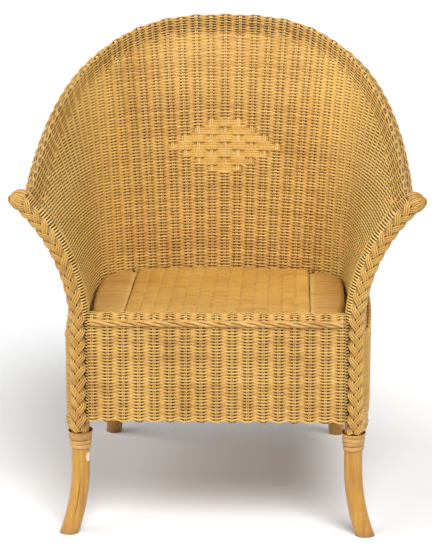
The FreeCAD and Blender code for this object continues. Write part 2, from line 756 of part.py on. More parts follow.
def chair():
    """All pieces by name, with the front legs at Y = 0."""
    rail_half = LEG_X - LEG_R - JOINT_GAP
    rail_y = APRON_STAKE_Y + STAKE_T + JOINT_GAP + SKIRT_RAIL_D / 2
    pieces = {}
    for name, piece in (("front_leg", front_leg()), ("rear_leg", rear_leg()), ("arm_braid", braid()),
                        ("leg_binding", leg_binding()), ("seat_side", seat_side()),
                        ("seat_bearer", seat_bearer())):
        pieces[name + "_right"] = piece
        pieces[name + "_left"] = mirrored(piece)
    pieces["seat_rail_front"] = cross_pole(rail_half, 0, SEAT_RAIL_Z, SEAT_RAIL_D)
    pieces["seat_hoop"] = arc_hoop(SEAT_HOOP_OFFSET, SEAT_HOOP_Z, FRONT_Y, SEAT_HOOP_D)
    pieces["seat_frame_hoop"] = seat_frame_hoop()
    pieces["seat_mat"] = seat_mat()
    pieces["skirt_rail_front"] = cross_pole(rail_half, rail_y, SKIRT_RAIL_Z, SKIRT_RAIL_D)
    pieces.update(skirt_rails())
    pieces["top_hoop"] = top_hoop()
    pieces["tub_weave"] = tub_weave()
    pieces["tub_stakes"] = Part.makeCompound([tub_stake(share) for share in stake_shares()])
    pieces["diamond_strips"] = Part.makeCompound([diamond_strip(row) for row in range(len(DIAMOND_COUNTS))])
    pieces["rim_border"] = rim_border()
    pieces["skirt_weave"] = skirt_weave()
    pieces["skirt_stakes"] = Part.makeCompound([skirt_stake(share) for share in stake_shares()])
    pieces["ledge_border"] = ledge_border()
    pieces["apron_weave"] = apron_weave()
    pieces["apron_stakes"] = Part.makeCompound(apron_stakes())
    pieces["rope_border"] = rope_border()
    return pieces


# The finished chair stands with the middle of its floor print at the origin
CHAIR = chair()
BOX = Part.makeCompound(list(CHAIR.values())).optimalBoundingBox(False)
for name, piece in CHAIR.items():
    piece.translate(Vector(0, -BOX.Center.y, 0))
    piece.exportStep("parts/" + name + ".step")
    print(name, len(piece.Solids), piece.isValid(), round(piece.Volume))
print("size", BOX.XLength, BOX.YLength, BOX.ZLength, "moved forward by", BOX.Center.y)
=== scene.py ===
# %% [markdown]
# # A woven rattan tub armchair
#
# The chair is a frame of bent rattan poles with a shell of thin round reed woven round it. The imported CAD
# model gives every pole and every woven sheet its place. This lesson keeps the poles as they are, gives them
# a finish, and replaces each plain sheet by real reeds that pass in front of and behind their stakes.

# %% Load the frame
import math

import bpy
import numpy as np
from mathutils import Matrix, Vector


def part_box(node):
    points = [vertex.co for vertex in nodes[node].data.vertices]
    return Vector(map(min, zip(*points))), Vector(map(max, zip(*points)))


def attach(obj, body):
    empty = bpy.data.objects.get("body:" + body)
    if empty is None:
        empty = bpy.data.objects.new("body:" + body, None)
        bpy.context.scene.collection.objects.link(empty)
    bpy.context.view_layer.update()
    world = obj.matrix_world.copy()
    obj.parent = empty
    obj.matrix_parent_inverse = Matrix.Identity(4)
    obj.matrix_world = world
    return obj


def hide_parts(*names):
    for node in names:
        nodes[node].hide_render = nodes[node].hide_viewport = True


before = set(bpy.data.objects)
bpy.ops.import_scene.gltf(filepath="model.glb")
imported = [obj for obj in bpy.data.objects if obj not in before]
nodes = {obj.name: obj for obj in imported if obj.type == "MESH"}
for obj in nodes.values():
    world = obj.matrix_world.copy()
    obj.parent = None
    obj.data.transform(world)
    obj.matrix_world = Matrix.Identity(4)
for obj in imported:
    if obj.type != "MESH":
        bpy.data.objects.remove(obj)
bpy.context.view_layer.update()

leg_low, leg_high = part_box("front_leg_left")
FRONT_LINE = (leg_low.y + leg_high.y) / 2

# %% [markdown]
# ## Reeds as swept sections
#
# Every reed, strip and cane on the chair is a thin section carried along a line. A curve object with a bevel
# would do that too, but thousands of curves are slow to handle and a curve can't hold a tone for each reed.
# So one function sweeps a section along many lines at once and fills a single mesh with numpy. Each line gets
# its own strip of the bake map, a tone of its own, and its running length, which the finishes use for grain.

# %% Sections of reed and cane
rng = np.random.default_rng(7)


def unit(vectors):
    return vectors / np.linalg.norm(vectors, axis=-1, keepdims=True)


def run_along(points):
    """Length run from the first of some points to each of them."""
    return np.concatenate([[0], np.cumsum(np.linalg.norm(np.diff(points, axis=0), axis=-1))])


def closed_section(width, thickness, sides, face_power=1.0, edge_power=1.0):
    """Offsets out of the sheet and across the reed. Powers under 1 make the section squarer."""
    angle = 2 * np.pi * np.arange(sides) / sides
    parts = (np.cos(angle), face_power, thickness), (np.sin(angle), edge_power, width)
    return np.stack([np.sign(v) * np.abs(v)**power * size / 2 for v, power, size in parts], -1)


def round_section(diameter, sides=6):
    return closed_section(diameter, diameter, sides)


def flat_section(width, thickness, sides=10):
    """Flat cane with rounded edges and a slightly domed face."""
    return closed_section(width, thickness, sides, 0.75, 0.55)


# %% A mesh from swept rings
def add_object(name, data):
    thing = bpy.data.objects.new(name, data)
    bpy.context.scene.collection.objects.link(thing)
    return thing


def fill_mesh(name, verts, quads, caps, uvs, marks):
    """Mesh object of quads and end caps, with its bake map and the numbers that the finishes read."""
    mesh = bpy.data.meshes.new(name)
    mesh.vertices.add(len(verts))
    mesh.vertices.foreach_set("co", verts.ravel())
    mesh.loops.add(quads.size + caps.size)
    mesh.loops.foreach_set("vertex_index", np.concatenate([quads.ravel(), caps.ravel()]))
    mesh.polygons.add(len(quads) + len(caps))
    starts = [np.arange(len(quads)) * 4, quads.size + np.arange(len(caps)) * caps.shape[1]]
    mesh.polygons.foreach_set("loop_start", np.concatenate(starts))
    mesh.polygons.foreach_set("use_smooth", np.arange(len(quads) + len(caps)) < len(quads))
    mesh.uv_layers.new(name="OFBake").data.foreach_set("uv", uvs.ravel())
    for mark, values in marks.items():
        mesh.attributes.new(mark, "FLOAT", "POINT").data.foreach_set("value", np.concatenate(values))
    mesh.update()
    mesh.validate()
    return add_object(name, mesh)


# %% Sweep a section along many lines
BAKE_MARGIN = 0.05
RUN_SHIFT = 3.7


def sweep(name, lines, section, tones=None):
    """One mesh of a section swept along lines.

    A line is points, directions out of the surface and a scale for the width, or for thickness and width. A
    fourth entry says how far it swings out, from -1 to 1, and marks painted shade on the faces that look into
    the holes of a weave; a fifth marks painted shade in the grooves beside it.
    """
    sides = len(section)
    facing, edge = (section / np.abs(section).max(0)).T
    verts, quads, uvs, caps, cap_uvs = [], [], [], [], []
    marks = {"tone": [], "run": [], "painted_shade": []}
    start = 0
    for k, (points, out, width, *dark) in enumerate(lines):
        count = len(points)
        ahead = unit(np.gradient(points, axis=0))
        out = unit(out - ahead * np.sum(out * ahead, -1, keepdims=True))
        aside = np.cross(ahead, out)
        scale = np.asarray(width, float)
        if scale.ndim < 2:
            scale = np.stack([np.ones(count), np.broadcast_to(scale, count)], -1)
        shaped = section[None] * scale[:, None]
        ring = points[:, None] + out[:, None] * shaped[..., :1] + aside[:, None] * shaped[..., 1:]
        verts.append(ring.reshape(-1, 3))
        i, j = np.meshgrid(np.arange(count - 1), np.arange(sides), indexing="ij")
        nxt = (j + 1) % sides
        corners = [i * sides + j, i * sides + nxt, (i + 1) * sides + nxt, (i + 1) * sides + j]
        quads.append(np.stack(corners, -1).reshape(-1, 4) + start)
        low = (k + BAKE_MARGIN) / len(lines)
        step = (1 - 2 * BAKE_MARGIN) / len(lines) / sides
        u0, u1 = i / (count - 1), (i + 1) / (count - 1)
        v0, v1 = low + step * j, low + step * (j + 1)
        around = [np.stack(pair, -1) for pair in ((u0, v0), (u0, v1), (u1, v1), (u1, v0))]
        uvs.append(np.stack(around, -2).reshape(-1, 2))
        caps += [np.arange(sides)[::-1] + start, np.arange(sides) + start + (count - 1) * sides]
        band = low + step * np.arange(sides)
        cap_uvs += [np.stack([np.zeros(sides), band[::-1]], -1), np.stack([np.ones(sides), band], -1)]
        tone = rng.random() if tones is None else tones[k]
        marks["tone"].append(np.repeat(np.broadcast_to(tone, count), sides))
        marks["run"].append(np.repeat(run_along(points) + RUN_SHIFT * k, sides))
        swing, groove = (np.broadcast_to(mark, count)[:, None] for mark in (*dark, 0.0, 0.0)[:2])
        # Painted shade: inward faces where a reed swings back, and the edges beside its grooves.
        turned = (1 - np.sign(swing) * facing) / 2
        marks["painted_shade"].append(np.maximum(np.abs(swing) * turned**1.4, groove * edge**2).ravel())
        start += count * sides
    piece = fill_mesh(name, np.concatenate(verts), np.concatenate(quads), np.stack(caps),
                      np.concatenate(uvs + cap_uvs), marks)
    print(name, len(lines), "reeds,", len(piece.data.polygons), "faces")
    return piece


def lay(name, lines, section, finish, node, tones=None):
    """Sweep a piece that stands for a CAD node, give it its finish and tie it to the chair."""
    piece = sweep(name, lines, section, tones)
    piece.data.materials.append(finish)
    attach(piece, "root")
    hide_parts(node)


# %% [markdown]
# ## Shader maths in plain expressions
#
# A finish is easier to read as `1 - mask * 0.4` than as a chain of nodes. The class below wraps one socket,
# and each Python operator on it adds the Math node it stands for. Every other node comes from `make`.

# %% A socket that Python can calculate with
class Value:
    """A shader socket. Operators on it add Math nodes; make adds any other node."""

    def __init__(self, tree, socket=None):
        self.tree = tree
        self.socket = socket

    def make(self, kind, settings=None, inputs=None, output=0):
        node = self.tree.nodes.new("ShaderNode" + kind)
        for name, value in (settings or {}).items():
            setattr(node, name, value)
        for name, value in (inputs or {}).items():
            if isinstance(value, Value):
                self.tree.links.new(value.socket, node.inputs[name])
            else:
                node.inputs[name].default_value = value
        return Value(self.tree, node.outputs[output])

    def math(self, operation, *values):
        return self.make("Math", {"operation": operation}, dict(enumerate(values)))

    def __add__(self, other):
        return self.math("ADD", self, other)

    __radd__ = __add__

    def __sub__(self, other):
        return self.math("SUBTRACT", self, other)

    def __rsub__(self, other):
        return self.math("SUBTRACT", other, self)

    def __mul__(self, other):
        return self.math("MULTIPLY", self, other)

    def __truediv__(self, other):
        return self.math("DIVIDE", self, other)

    def __abs__(self):
        return self.math("ABSOLUTE", self)

    def ramp(self, low, high):
        """0 below low, 1 above high, smooth between."""
        return self.make("MapRange", {"interpolation_type": "SMOOTHSTEP"},
                         {"Value": self, "From Min": low, "From Max": high})

    def noise(self, scale, detail, roughness=0.5):
        """Noise at the place that this value gives."""
        return self.make("TexNoise", None,
                         {"Vector": self, "Scale": scale, "Detail": detail, "Roughness": roughness})

    def blend(self, first, second):
        """Colour that goes from first to second as this value goes from 0 to 1."""
        return self.make("Mix", {"data_type": "RGBA"}, {0: self, 6: first, 7: second}, output=2)


def srgb(red, green, blue):
    """Linear colour from the 0 to 255 values that a picture shows."""
    linear = [((c / 255 + 0.055) / 1.055)**2.4 if c > 10 else c / 255 / 12.92 for c in (red, green, blue)]
    return (*linear, 1)


def new_finish(name):
    """Empty material: its shader node, and a Value to build on."""
    material = bpy.data.materials.new(name)
    material.use_nodes = True
    return material, material.node_tree.nodes["Principled BSDF"], Value(material.node_tree)


def connect(value, shader, socket):
    value.tree.links.new(value.socket, shader.inputs[socket])


# %% [markdown]
# ## Reed and cane finishes
#
# Rattan reed is straw to honey coloured, each reed a little different from the next, with fine long fibres
# and a dull sheen where hands and varnish have smoothed it. A picture texture could show that, but it would
# stretch round a reed 3 mm thick. So the tone comes from each reed's own number, blotches come from the place
# on the chair, and the fibres from noise. Shade is painted in dark brown on the faces that look into the
# holes of the weave and in the grooves beside some reeds.

# %% Finish for reed and cane
# Dark brown of the shade painted in holes and grooves.
SHADE_BROWN = srgb(70, 40, 14)


def reed_finish(name, pale, middle, dark, roughness=0.5, coat=0.1, hole_shade=0.6, patch=9.0):
    """Straw coloured finish with a tone for each reed, blotches, fibres, and painted shade in the weave's
    holes.
    """
    material, shader, value = new_finish(name)
    tone, run, painted_shade = (value.make("Attribute", {"attribute_name": mark}, output=2)
                         for mark in ("tone", "run", "painted_shade"))
    where = value.make("TexCoord", output=3)
    blotch = where.noise(patch, 3.0, 0.6)
    along = value.make("TexNoise", {"noise_dimensions": "1D"}, {"W": run, "Scale": 55.0, "Detail": 2.0})
    fibres = where.noise(900.0, 1.0)
    shade = tone * 0.3 + blotch * 0.6 + along * 0.35 - 0.15
    straw = shade.ramp(0.1, 0.55).blend(srgb(*dark), srgb(*middle))
    colour = shade.ramp(0.45, 0.95).blend(straw, srgb(*pale))
    # Painted shade turns the marked faces dark brown.
    connect((painted_shade * hole_shade).blend(colour, SHADE_BROWN), shader, "Base Color")
    connect(blotch * 0.2 + along * 0.1 + (roughness - 0.15), shader, "Roughness")
    bump = value.make("Bump", None, {"Strength": 0.5, "Distance": 0.0002, "Height": fibres + along})
    connect(bump, shader, "Normal")
    shader.inputs["Coat Weight"].default_value = coat
    shader.inputs["Coat Roughness"].default_value = 0.35
    return material


tub_reed = reed_finish("tub_reed", (242, 198, 108), (219, 175, 90), (189, 139, 62), hole_shade=0.9)
apron_reed = reed_finish("apron_reed", (230, 190, 110), (206, 160, 76), (168, 115, 41), hole_shade=0.95)
stake_reed = reed_finish("stake_reed", (246, 216, 150), (234, 196, 122), (208, 160, 84))
rope_reed = reed_finish("rope_reed", (216, 176, 102), (194, 148, 72), (156, 106, 38))
border_reed = reed_finish("border_reed", (234, 194, 112), (210, 164, 80), (168, 116, 42), 0.48, 0.12, 0.95)
strip_cane = reed_finish("strip_cane", (228, 188, 98), (212, 166, 76), (186, 134, 50), 0.42, 0.2)
braid_cane = reed_finish("braid_cane", (220, 180, 98), (198, 150, 66), (160, 110, 38), 0.4, 0.2)
binding_cane = reed_finish("binding_cane", (214, 174, 108), (190, 144, 80), (150, 104, 52), 0.48, 0.12)
seat_reed = reed_finish("seat_reed", (224, 182, 98), (205, 157, 73), (171, 118, 45), patch=14.0)
crescent_reed = reed_finish("crescent_reed", (222, 180, 106), (198, 150, 76), (162, 112, 46), 0.52)

# %% [markdown]
# ## The tub's surface
#
# In plan the foot of the tub is a chain of arcs round the seat. The rim is a rounded oval that rises from the
# arms to the back. Between them each stake is a bent line, so the whole shell is one surface measured by the
# place along it, counted in stakes from the middle of the back, and by the height up the stake. Reeds drawn
# on that surface follow the shell everywhere, which no flat pattern could do.

# %% Foot line of the tub
LEG_X, LEG_R, JOINT_GAP = 0.237, 0.016, 0.0003
SIDE_R, CORNER_R, BACK_R = 2.6, 0.104, 0.404
TUB_INSIDE_LEG, WIDEST_Y, TUB_BACK_Y = 0.008, 0.240, 0.479
STAKES_PER_SIDE = 27
EDGE = STAKES_PER_SIDE + 0.5
FRONT_EDGE = LEG_R + JOINT_GAP
side_centre = np.array([LEG_X - TUB_INSIDE_LEG - SIDE_R, WIDEST_Y])
back_centre = np.array([0, TUB_BACK_Y - BACK_R])
between = back_centre - side_centre
span = np.hypot(*between)
ahead_part = ((SIDE_R - CORNER_R)**2 - (BACK_R - CORNER_R)**2 + span**2) / (2 * span)
aside_part = math.sqrt((SIDE_R - CORNER_R)**2 - ahead_part**2)
square = np.array([-between[1], between[0]])
corner_centre = side_centre + (between * ahead_part + square * aside_part) / span
BACK_TURN = math.atan2(*(corner_centre - back_centre))
CORNER_TURN = math.atan2(*(corner_centre - side_centre))
FRONT_TURN = math.acos((FRONT_EDGE - WIDEST_Y) / SIDE_R)
BACK_LENGTH = BACK_R * BACK_TURN
CORNER_LENGTH = CORNER_R * (CORNER_TURN - BACK_TURN)
FOOT_LENGTH = BACK_LENGTH + CORNER_LENGTH + SIDE_R * (FRONT_TURN - CORNER_TURN)


def foot_line(stake, offset, z):
    """Points of the tub's foot line moved outwards, and the directions out of it."""
    length = np.abs(stake) / EDGE * FOOT_LENGTH
    parts = [length < BACK_LENGTH, length < BACK_LENGTH + CORNER_LENGTH]
    turn = np.select(parts, [length / BACK_R, BACK_TURN + (length - BACK_LENGTH) / CORNER_R],
                     CORNER_TURN + (length - BACK_LENGTH - CORNER_LENGTH) / SIDE_R)
    radius = np.select(parts, [BACK_R, CORNER_R], SIDE_R) + offset
    centre_x = np.select(parts, [0, corner_centre[0]], side_centre[0])
    centre_y = np.select(parts, [back_centre[1], corner_centre[1]], WIDEST_Y)
    side = np.where(stake < 0, -1, 1)
    out = np.stack([side * np.sin(turn), np.cos(turn), np.zeros_like(turn)], -1)
    x = side * (centre_x + radius * np.sin(turn))
    y = centre_y + radius * np.cos(turn) + FRONT_LINE
    return np.stack([x, y, np.broadcast_to(z, x.shape)], -1), out


# %% Rim of the tub
ARM_BEND_Z, ARM_BEND_R, ARM_SWEEP = 0.375, 0.3046, math.radians(46.8)
ARM_TIP_X = LEG_X + ARM_BEND_R * (1 - math.cos(ARM_SWEEP))
ARM_TIP_Z = ARM_BEND_Z + ARM_BEND_R * math.sin(ARM_SWEEP)
RIM_INSIDE_TIP, RIM_BELOW_TIP = 0.0013, 0.0016
RIM_HALF, RIM_DEPTH, RIM_POWER, RIM_FLARE_DEPTH = 0.3173, 0.570, 2.76, 0.075
RIM_ARM_Z, RIM_BACK_Z, RIM_RISE_POWER = ARM_TIP_Z - RIM_BELOW_TIP, 0.8276, 1.52
rim_angle = np.linspace(0, math.acos((FRONT_EDGE / RIM_DEPTH)**(RIM_POWER / 2)), 4001)
rim_y = RIM_DEPTH * np.cos(rim_angle)**(2 / RIM_POWER)
rim_x = RIM_HALF * np.sin(rim_angle)**(2 / RIM_POWER)
flare = np.clip(1 - rim_y / RIM_FLARE_DEPTH, 0, None)**2
rim_x += flare / flare[-1] * (ARM_TIP_X - RIM_INSIDE_TIP - rim_x[-1])
rim_z = RIM_ARM_Z + (RIM_BACK_Z - RIM_ARM_Z) * (rim_y / RIM_DEPTH)**RIM_RISE_POWER
rim_curve = np.stack([rim_x, rim_y + FRONT_LINE, rim_z], -1)
rim_length = run_along(rim_curve)


def rim_line(stake):
    share = np.abs(stake) / EDGE * rim_length[-1]
    x, y, z = (np.interp(share, rim_length, rim_curve[:, axis]) for axis in range(3))
    return np.stack([np.where(stake < 0, -x, x), y, z], -1)


print("foot line", round(2 * FOOT_LENGTH, 3), "m, rim", round(2 * rim_length[-1], 3), "m")

# %% A woven sheet
WEAVE_REED, REED_DEPTH, STAKE_REED = 0.0027, 0.0021, 0.0032
BESIDE_STAKE = np.array([-0.29, -0.14, 0, 0.14, 0.29, 0.5])


class Sheet:
    """A surface of stake lines: points by line and level, directions out of it, and heights up each line."""

    def __init__(self, stakes, points):
        self.stakes = stakes
        self.points = points
        along = np.gradient(points, axis=0)
        up = np.gradient(points, axis=1)
        self.out = unit(np.cross(up, along))
        self.height = np.stack([run_along(line) for line in points])

    def rows(self, heights):
        """Points and outward directions of rows, given as heights by row and stake line."""
        points = np.empty(heights.shape + (3,))
        out = np.empty(heights.shape + (3,))
        for c in range(len(self.stakes)):
            for axis in range(3):
                points[:, c, axis] = np.interp(heights[:, c], self.height[c], self.points[c, :, axis])
                out[:, c, axis] = np.interp(heights[:, c], self.height[c], self.out[c, :, axis])
        return points, unit(out)

    def stake_pair(self, stake, hole_shade):
        """The two reeds of one stake, side by side on the sheet, with a share of painted shade on their inner
        side.
        """
        c = int(np.argmin(np.abs(self.stakes - stake)))
        along = unit(self.points[min(c + 1, len(self.stakes) - 1)] - self.points[max(c - 1, 0)])
        return [(self.points[c] + along * STAKE_REED * side, self.out[c], 1.0, hole_shade) for side in (-0.5, 0.5)]


def weave_places(edge):
    """Places along a sheet, counted in stakes, most of them beside the stakes, where the reeds swing."""
    stakes = np.arange(-math.ceil(edge), math.ceil(edge) + 1)
    places = (stakes[:, None] + BESIDE_STAKE).ravel()
    return np.concatenate([[-edge], places[np.abs(places) < edge - 0.01], [edge]])


# %% The shell from foot to rim, and on over the hoop
TUB_FOOT_Z, TUB_BEND_Z, BEND_ROOM = 0.326, 0.3543, 0.006
KNEE_OUT, KNEE_UP_BACK, KNEE_UP_ARM = 0.35, 0.50, 0.54
MIDDLE = 0.00165
HOOP_R, HOOP_OUT, HOOP_DROP = 0.011, 0.0172, 0.016
SKIVE_STAKES, REED_OVER_HOOP = 1.6, 0.0034


def tub_levels(stakes):
    """Points of the tub in the middle of its weave, from the foot to the rim."""
    foot = foot_line(stakes, 0, TUB_BEND_Z)[0]
    head = rim_line(stakes)
    share = np.abs(stakes)[:, None] / EDGE
    out, up = KNEE_OUT * (1 - share), KNEE_UP_BACK + (KNEE_UP_ARM - KNEE_UP_BACK) * share
    knee = foot + (head - foot) * np.concatenate([out, out, up], 1)
    t = np.linspace(0, 1, 40)[None, :, None]
    bent = foot[:, None] * (1 - t)**2 + knee[:, None] * 2 * t * (1 - t) + head[:, None] * t**2
    low = [foot * [1, 1, 0] + [0, 0, z] for z in np.linspace(TUB_FOOT_Z, TUB_BEND_Z - BEND_ROOM, 4)]
    return np.concatenate([np.stack(low, 1), bent], 1)


tub_stakes = weave_places(EDGE)
shell = Sheet(tub_stakes, tub_levels(tub_stakes))
rim, rim_out = shell.points[:, -1], shell.out[:, -1]
rim_up = unit(np.cross(unit(np.gradient(rim, axis=0)), rim_out))
skived = np.clip((np.abs(tub_stakes) - EDGE + SKIVE_STAKES) / SKIVE_STAKES, 0, 1)[:, None]**1.5
hoop_r = HOOP_R - 0.005 * skived
hoop_line = rim + rim_out * (HOOP_OUT - 0.0055 * skived) - rim_up * (HOOP_DROP - 0.004 * skived)
over = [rim + rim_out * n + rim_up * h for n, h in ((0.0016, 0.0026), (0.0042, 0.0032))]
for turn in np.radians([112, 88, 64, 40, 16, -8, -24]):
    ray = rim_out * math.cos(turn) + rim_up * math.sin(turn)
    over.append(hoop_line + ray * (hoop_r + REED_OVER_HOOP))
tub = Sheet(tub_stakes, np.concatenate([shell.points + shell.out * MIDDLE, np.stack(over, 1)], 1))
shell_levels = shell.points.shape[1]
rim_height = tub.height[:, shell_levels - 1]
print("stakes up the back are", round(rim_height.max(), 3), "m long, at the arms", round(rim_height.min(), 3))

# %% [markdown]
# ## Weaving
#
# In plain weave a reed passes in front of one stake and behind the next, and the reed above it does the
# opposite. Between two stakes all reeds lie flat in one plane; beside each stake they part and leave a small
# dark hole. A bump map can't leave holes, so each reed here is a real swept tube that stays in the plane and
# swings out at the stakes.

# %% Rows of reed on a sheet
SWING = (REED_DEPTH + STAKE_REED) / 2
ROW_FILL, FAR_FILL = 1.10, 1.05
weaver = closed_section(WEAVE_REED, REED_DEPTH, 8, 0.8, 0.8)


def eased(part):
    return part * part * (3 - 2 * part)


def swing_rows(sheet, heights, swing, parting, shade=1.0, kept=None, first=0, far=1, apart=0.12):
    """Lines of woven reeds at given heights, cut where kept is false, and flattened on the far side.

    At each stake the reeds lie apart for a share of the gap between stakes, and over the parting they come
    together. Each line is followed by the side it turns to first and by where it begins and ends.
    """
    points, out = sheet.rows(heights)
    turn_over = np.where((np.arange(len(heights)) + first) % 2, 1.0, -1.0)[:, None]
    nearest = np.rint(sheet.stakes)
    part = np.clip((np.abs(sheet.stakes - nearest) - apart) / parting, 0, 1)
    wave = turn_over * np.where(nearest % 2, -1, 1) * (1 - eased(part))
    points = points + out * (wave * swing)[..., None]
    fill = ROW_FILL + FAR_FILL * np.clip(2 * far * wave, 0, 1)
    width = np.gradient(heights, axis=0) / WEAVE_REED * fill
    # The swing, times shade, also sets how much shade is painted in the holes.
    wave = wave * shade
    kept = np.ones(heights.shape, bool) if kept is None else kept
    lines = []
    for r in range(len(heights)):
        cuts = np.flatnonzero(np.diff(np.concatenate([[0], kept[r].astype(int), [0]])))
        for begin, end in zip(cuts[::2], cuts[1::2]):
            if end - begin > 3:
                line = [part[r, begin:end] for part in (points, out, width, wave)]
                lines.append((*line, turn_over[r, 0], begin, end))
    return lines


def drift(shape, size):
    """Slow unevenness of hand-laid rows."""
    rows, columns = shape
    coarse = rng.normal(0, size, (rows // 6 + 2, columns // 12 + 2))
    r = np.linspace(0, coarse.shape[0] - 1.001, rows)
    c = np.linspace(0, coarse.shape[1] - 1.001, columns)
    r0, c0 = r.astype(int), c.astype(int)
    fr, fc = (r - r0)[:, None], (c - c0)[None, :]
    top = coarse[r0][:, c0] * (1 - fc) + coarse[r0][:, c0 + 1] * fc
    low = coarse[r0 + 1][:, c0] * (1 - fc) + coarse[r0 + 1][:, c0 + 1] * fc
    return top * (1 - fr) + low * fr


def lengthen(line, start=None, end=None, width=1.0):
    """Add points with their outward directions at a line's ends, each given from the line outwards."""
    for more, turned in ((start, -1), (end, 1)):
        if more is not None:
            count = len(more[0])
            added = (*more, np.broadcast_to(width, count), np.zeros(count))
            line = [np.concatenate([old, new[::turned]][::turned]) for old, new in zip(line, added)]
    return line


# %% [markdown]
# ## The diamond in the back
#
# Seven rows of flat strips take the place of the reeds in the middle of the back. Each strip passes behind
# every second stake, so pairs of stakes show as short pale uprights. The reeds of the shell stop beside the
# strips, which is a mask on their rows: five rows of reed are as high as one strip. Each strip is laid from
# four flat canes side by side, as the fine lines along it show.

# %% Rows of the shell and of the diamond
DIAMOND = (1, 2, 3, 4, 3, 2, 1)
DIAMOND_Z, STRIP_PITCH, ROWS_PER_STRIP = 0.590, 0.0144, 5
BORDER, BORDER_LAP, BESIDE_STRIP = 0.033, 0.006, 0.2
share = np.abs(tub_stakes) / EDGE
row_pitch = STRIP_PITCH / ROWS_PER_STRIP
back = int(np.argmin(np.abs(tub_stakes)))
diamond_middle = np.interp(DIAMOND_Z, shell.points[back, :, 2], tub.height[back, :shell_levels])
row_count = math.ceil((rim_height.max() - BORDER) / row_pitch) + 1
row_levels = diamond_middle % row_pitch + np.arange(row_count) * row_pitch
heights = row_levels[:, None] * (1 - 0.12 * share**1.5)
inside = heights < rim_height - BORDER + BORDER_LAP
strip_heights = [diamond_middle + (row - len(DIAMOND) // 2) * STRIP_PITCH for row in range(len(DIAMOND))]
for k, (reach, level) in enumerate(zip(DIAMOND, strip_heights)):
    beside = np.abs(row_levels - level) < STRIP_PITCH / 2
    lowest = beside & (row_levels < level - STRIP_PITCH * 0.3)
    below = DIAMOND[k - 1] if k else 0
    inside &= ~(beside & ~lowest)[:, None] | (np.abs(tub_stakes) > reach + BESIDE_STRIP)
    inside &= ~lowest[:, None] | (np.abs(tub_stakes) > min(reach, below) + BESIDE_STRIP)
print(row_count, "rows of reed, and a diamond of", len(DIAMOND), "strips round z", DIAMOND_Z)

# %% Reeds of the shell
heights = heights + drift(heights.shape, 0.0003)
upper = np.clip((heights / rim_height - 0.60) / 0.3, 0, 1) * np.clip(1 - 2 * share, 0, 1)
flank = np.clip((share - 0.45) / 0.35, 0, 1)
swing = SWING * (1 - 0.3 * flank - 0.5 * upper)
# Strength of the shade painted in the holes: more on the flanks, less high up the back.
shade = 0.7 + 1.5 * flank - 0.4 * upper
tub_lines = swing_rows(tub, heights, swing, 0.29 - 0.05 * flank, shade, inside, apart=0.12 + 0.10 * flank)

# %% Their ends round the arm poles
WRAP_END = math.radians(-62)
REED_OVER_POLE = 0.0023


def pole_wrap(end):
    """Points that take a reed's end round the inner side of an arm pole, under the braid."""
    side = math.copysign(1, end[0])
    bend_x = LEG_X + ARM_BEND_R
    turn = min(max(math.atan2(end[2] - ARM_BEND_Z, bend_x - abs(end[0])), 0), ARM_SWEEP)
    centre_z = ARM_BEND_Z + ARM_BEND_R * math.sin(turn) if turn > 0 else end[2]
    axis = np.array([side * (bend_x - ARM_BEND_R * math.cos(turn)), FRONT_LINE, centre_z])
    inwards = np.array([-side * math.cos(turn), 0, math.sin(turn)])
    back = np.array([0, 1, 0])
    start = math.atan2((end - axis) @ back, (end - axis) @ inwards)
    angles = np.linspace(start, WRAP_END, 7)[1:, None]
    rays = np.cos(angles) * inwards + np.sin(angles) * back
    return axis + rays * (LEG_R + REED_OVER_POLE), -rays


def wrap_ends(lines):
    """Carry every second reed on round the arm poles at both front edges, and stop the others short."""
    done = []
    for *line, turn_over, begin, end in lines:
        at_start, at_end = begin == 0, end == len(tub_stakes)
        if turn_over > 0:
            points = line[0]
            line = lengthen(line, pole_wrap(points[0]) if at_start else None,
                            pole_wrap(points[-1]) if at_end else None)
        else:
            line = [part[2 if at_start else 0:-2 if at_end else None] for part in line]
        done.append(line)
    return done


# %% Weave the shell
SEAT_LINE, SEAT_FALL = 0.389, 0.077
WALL_X, WALL_EDGE = 0.17, 0.06
TUB_PIECES = 7


def side_wall(points):
    """How far a place lies on the side walls, from 0 to 1."""
    return np.clip((np.abs(points[:, 0]) - WALL_X) / WALL_EDGE, 0, 1)


def paint_shade(line):
    """Mark painted shade on a reed's inner side below the seat, in the narrow gap round it, and in its
    grooves on the walls.
    """
    points, out, width, wave = line
    below = points[:, 2] + (points[:, 1] - FRONT_LINE) * SEAT_FALL < SEAT_LINE
    return points, out, width, np.where(below, 1.3, wave), 0.3 * side_wall(points)


tub_reeds = [paint_shade(line) for line in wrap_ends(tub_lines)]
# The side walls get a paler tone, painted light where light falls on them; the rest of the tone is random.
tub_tones = [rng.random() - 0.3 + 1.5 * side_wall(line[0]) for line in tub_reeds]
for k in range(TUB_PIECES):
    some = slice(k * len(tub_reeds) // TUB_PIECES, (k + 1) * len(tub_reeds) // TUB_PIECES)
    lay("tub_weave_%d" % (k + 1), tub_reeds[some], weaver, tub_reed, "tub_weave",
        tub_tones[some])

# %% Lay the diamond's strips
CANES, CANE_LAP = 4, 1.2
CANE = STRIP_PITCH * CANE_LAP / CANES
STRIP_SWING, STRIP_REACH = 0.0019, 0.4
fine = np.arange(-5 * 8, 5 * 8 + 1) / 8
fine_sheet = Sheet(fine, tub_levels(fine))
fine_sheet = Sheet(fine, fine_sheet.points + fine_sheet.out * MIDDLE)
strip_lines = []
for reach, level in zip(DIAMOND, strip_heights):
    kept = np.abs(fine) <= reach + STRIP_REACH
    passing = np.clip(1.7 * np.cos(np.pi * (fine - reach)), -1, 1) * STRIP_SWING
    for k in range(CANES):
        height = level + (k - (CANES - 1) / 2) * CANE
        (points,), (out,) = fine_sheet.rows(np.full((1, len(fine)), height))
        points = points + out * passing[:, None]
        strip_lines.append((points[kept], out[kept], 1.0))
lay("diamond_strips_cane", strip_lines, flat_section(CANE * 1.04, 0.0009), strip_cane,
    "diamond_strips")

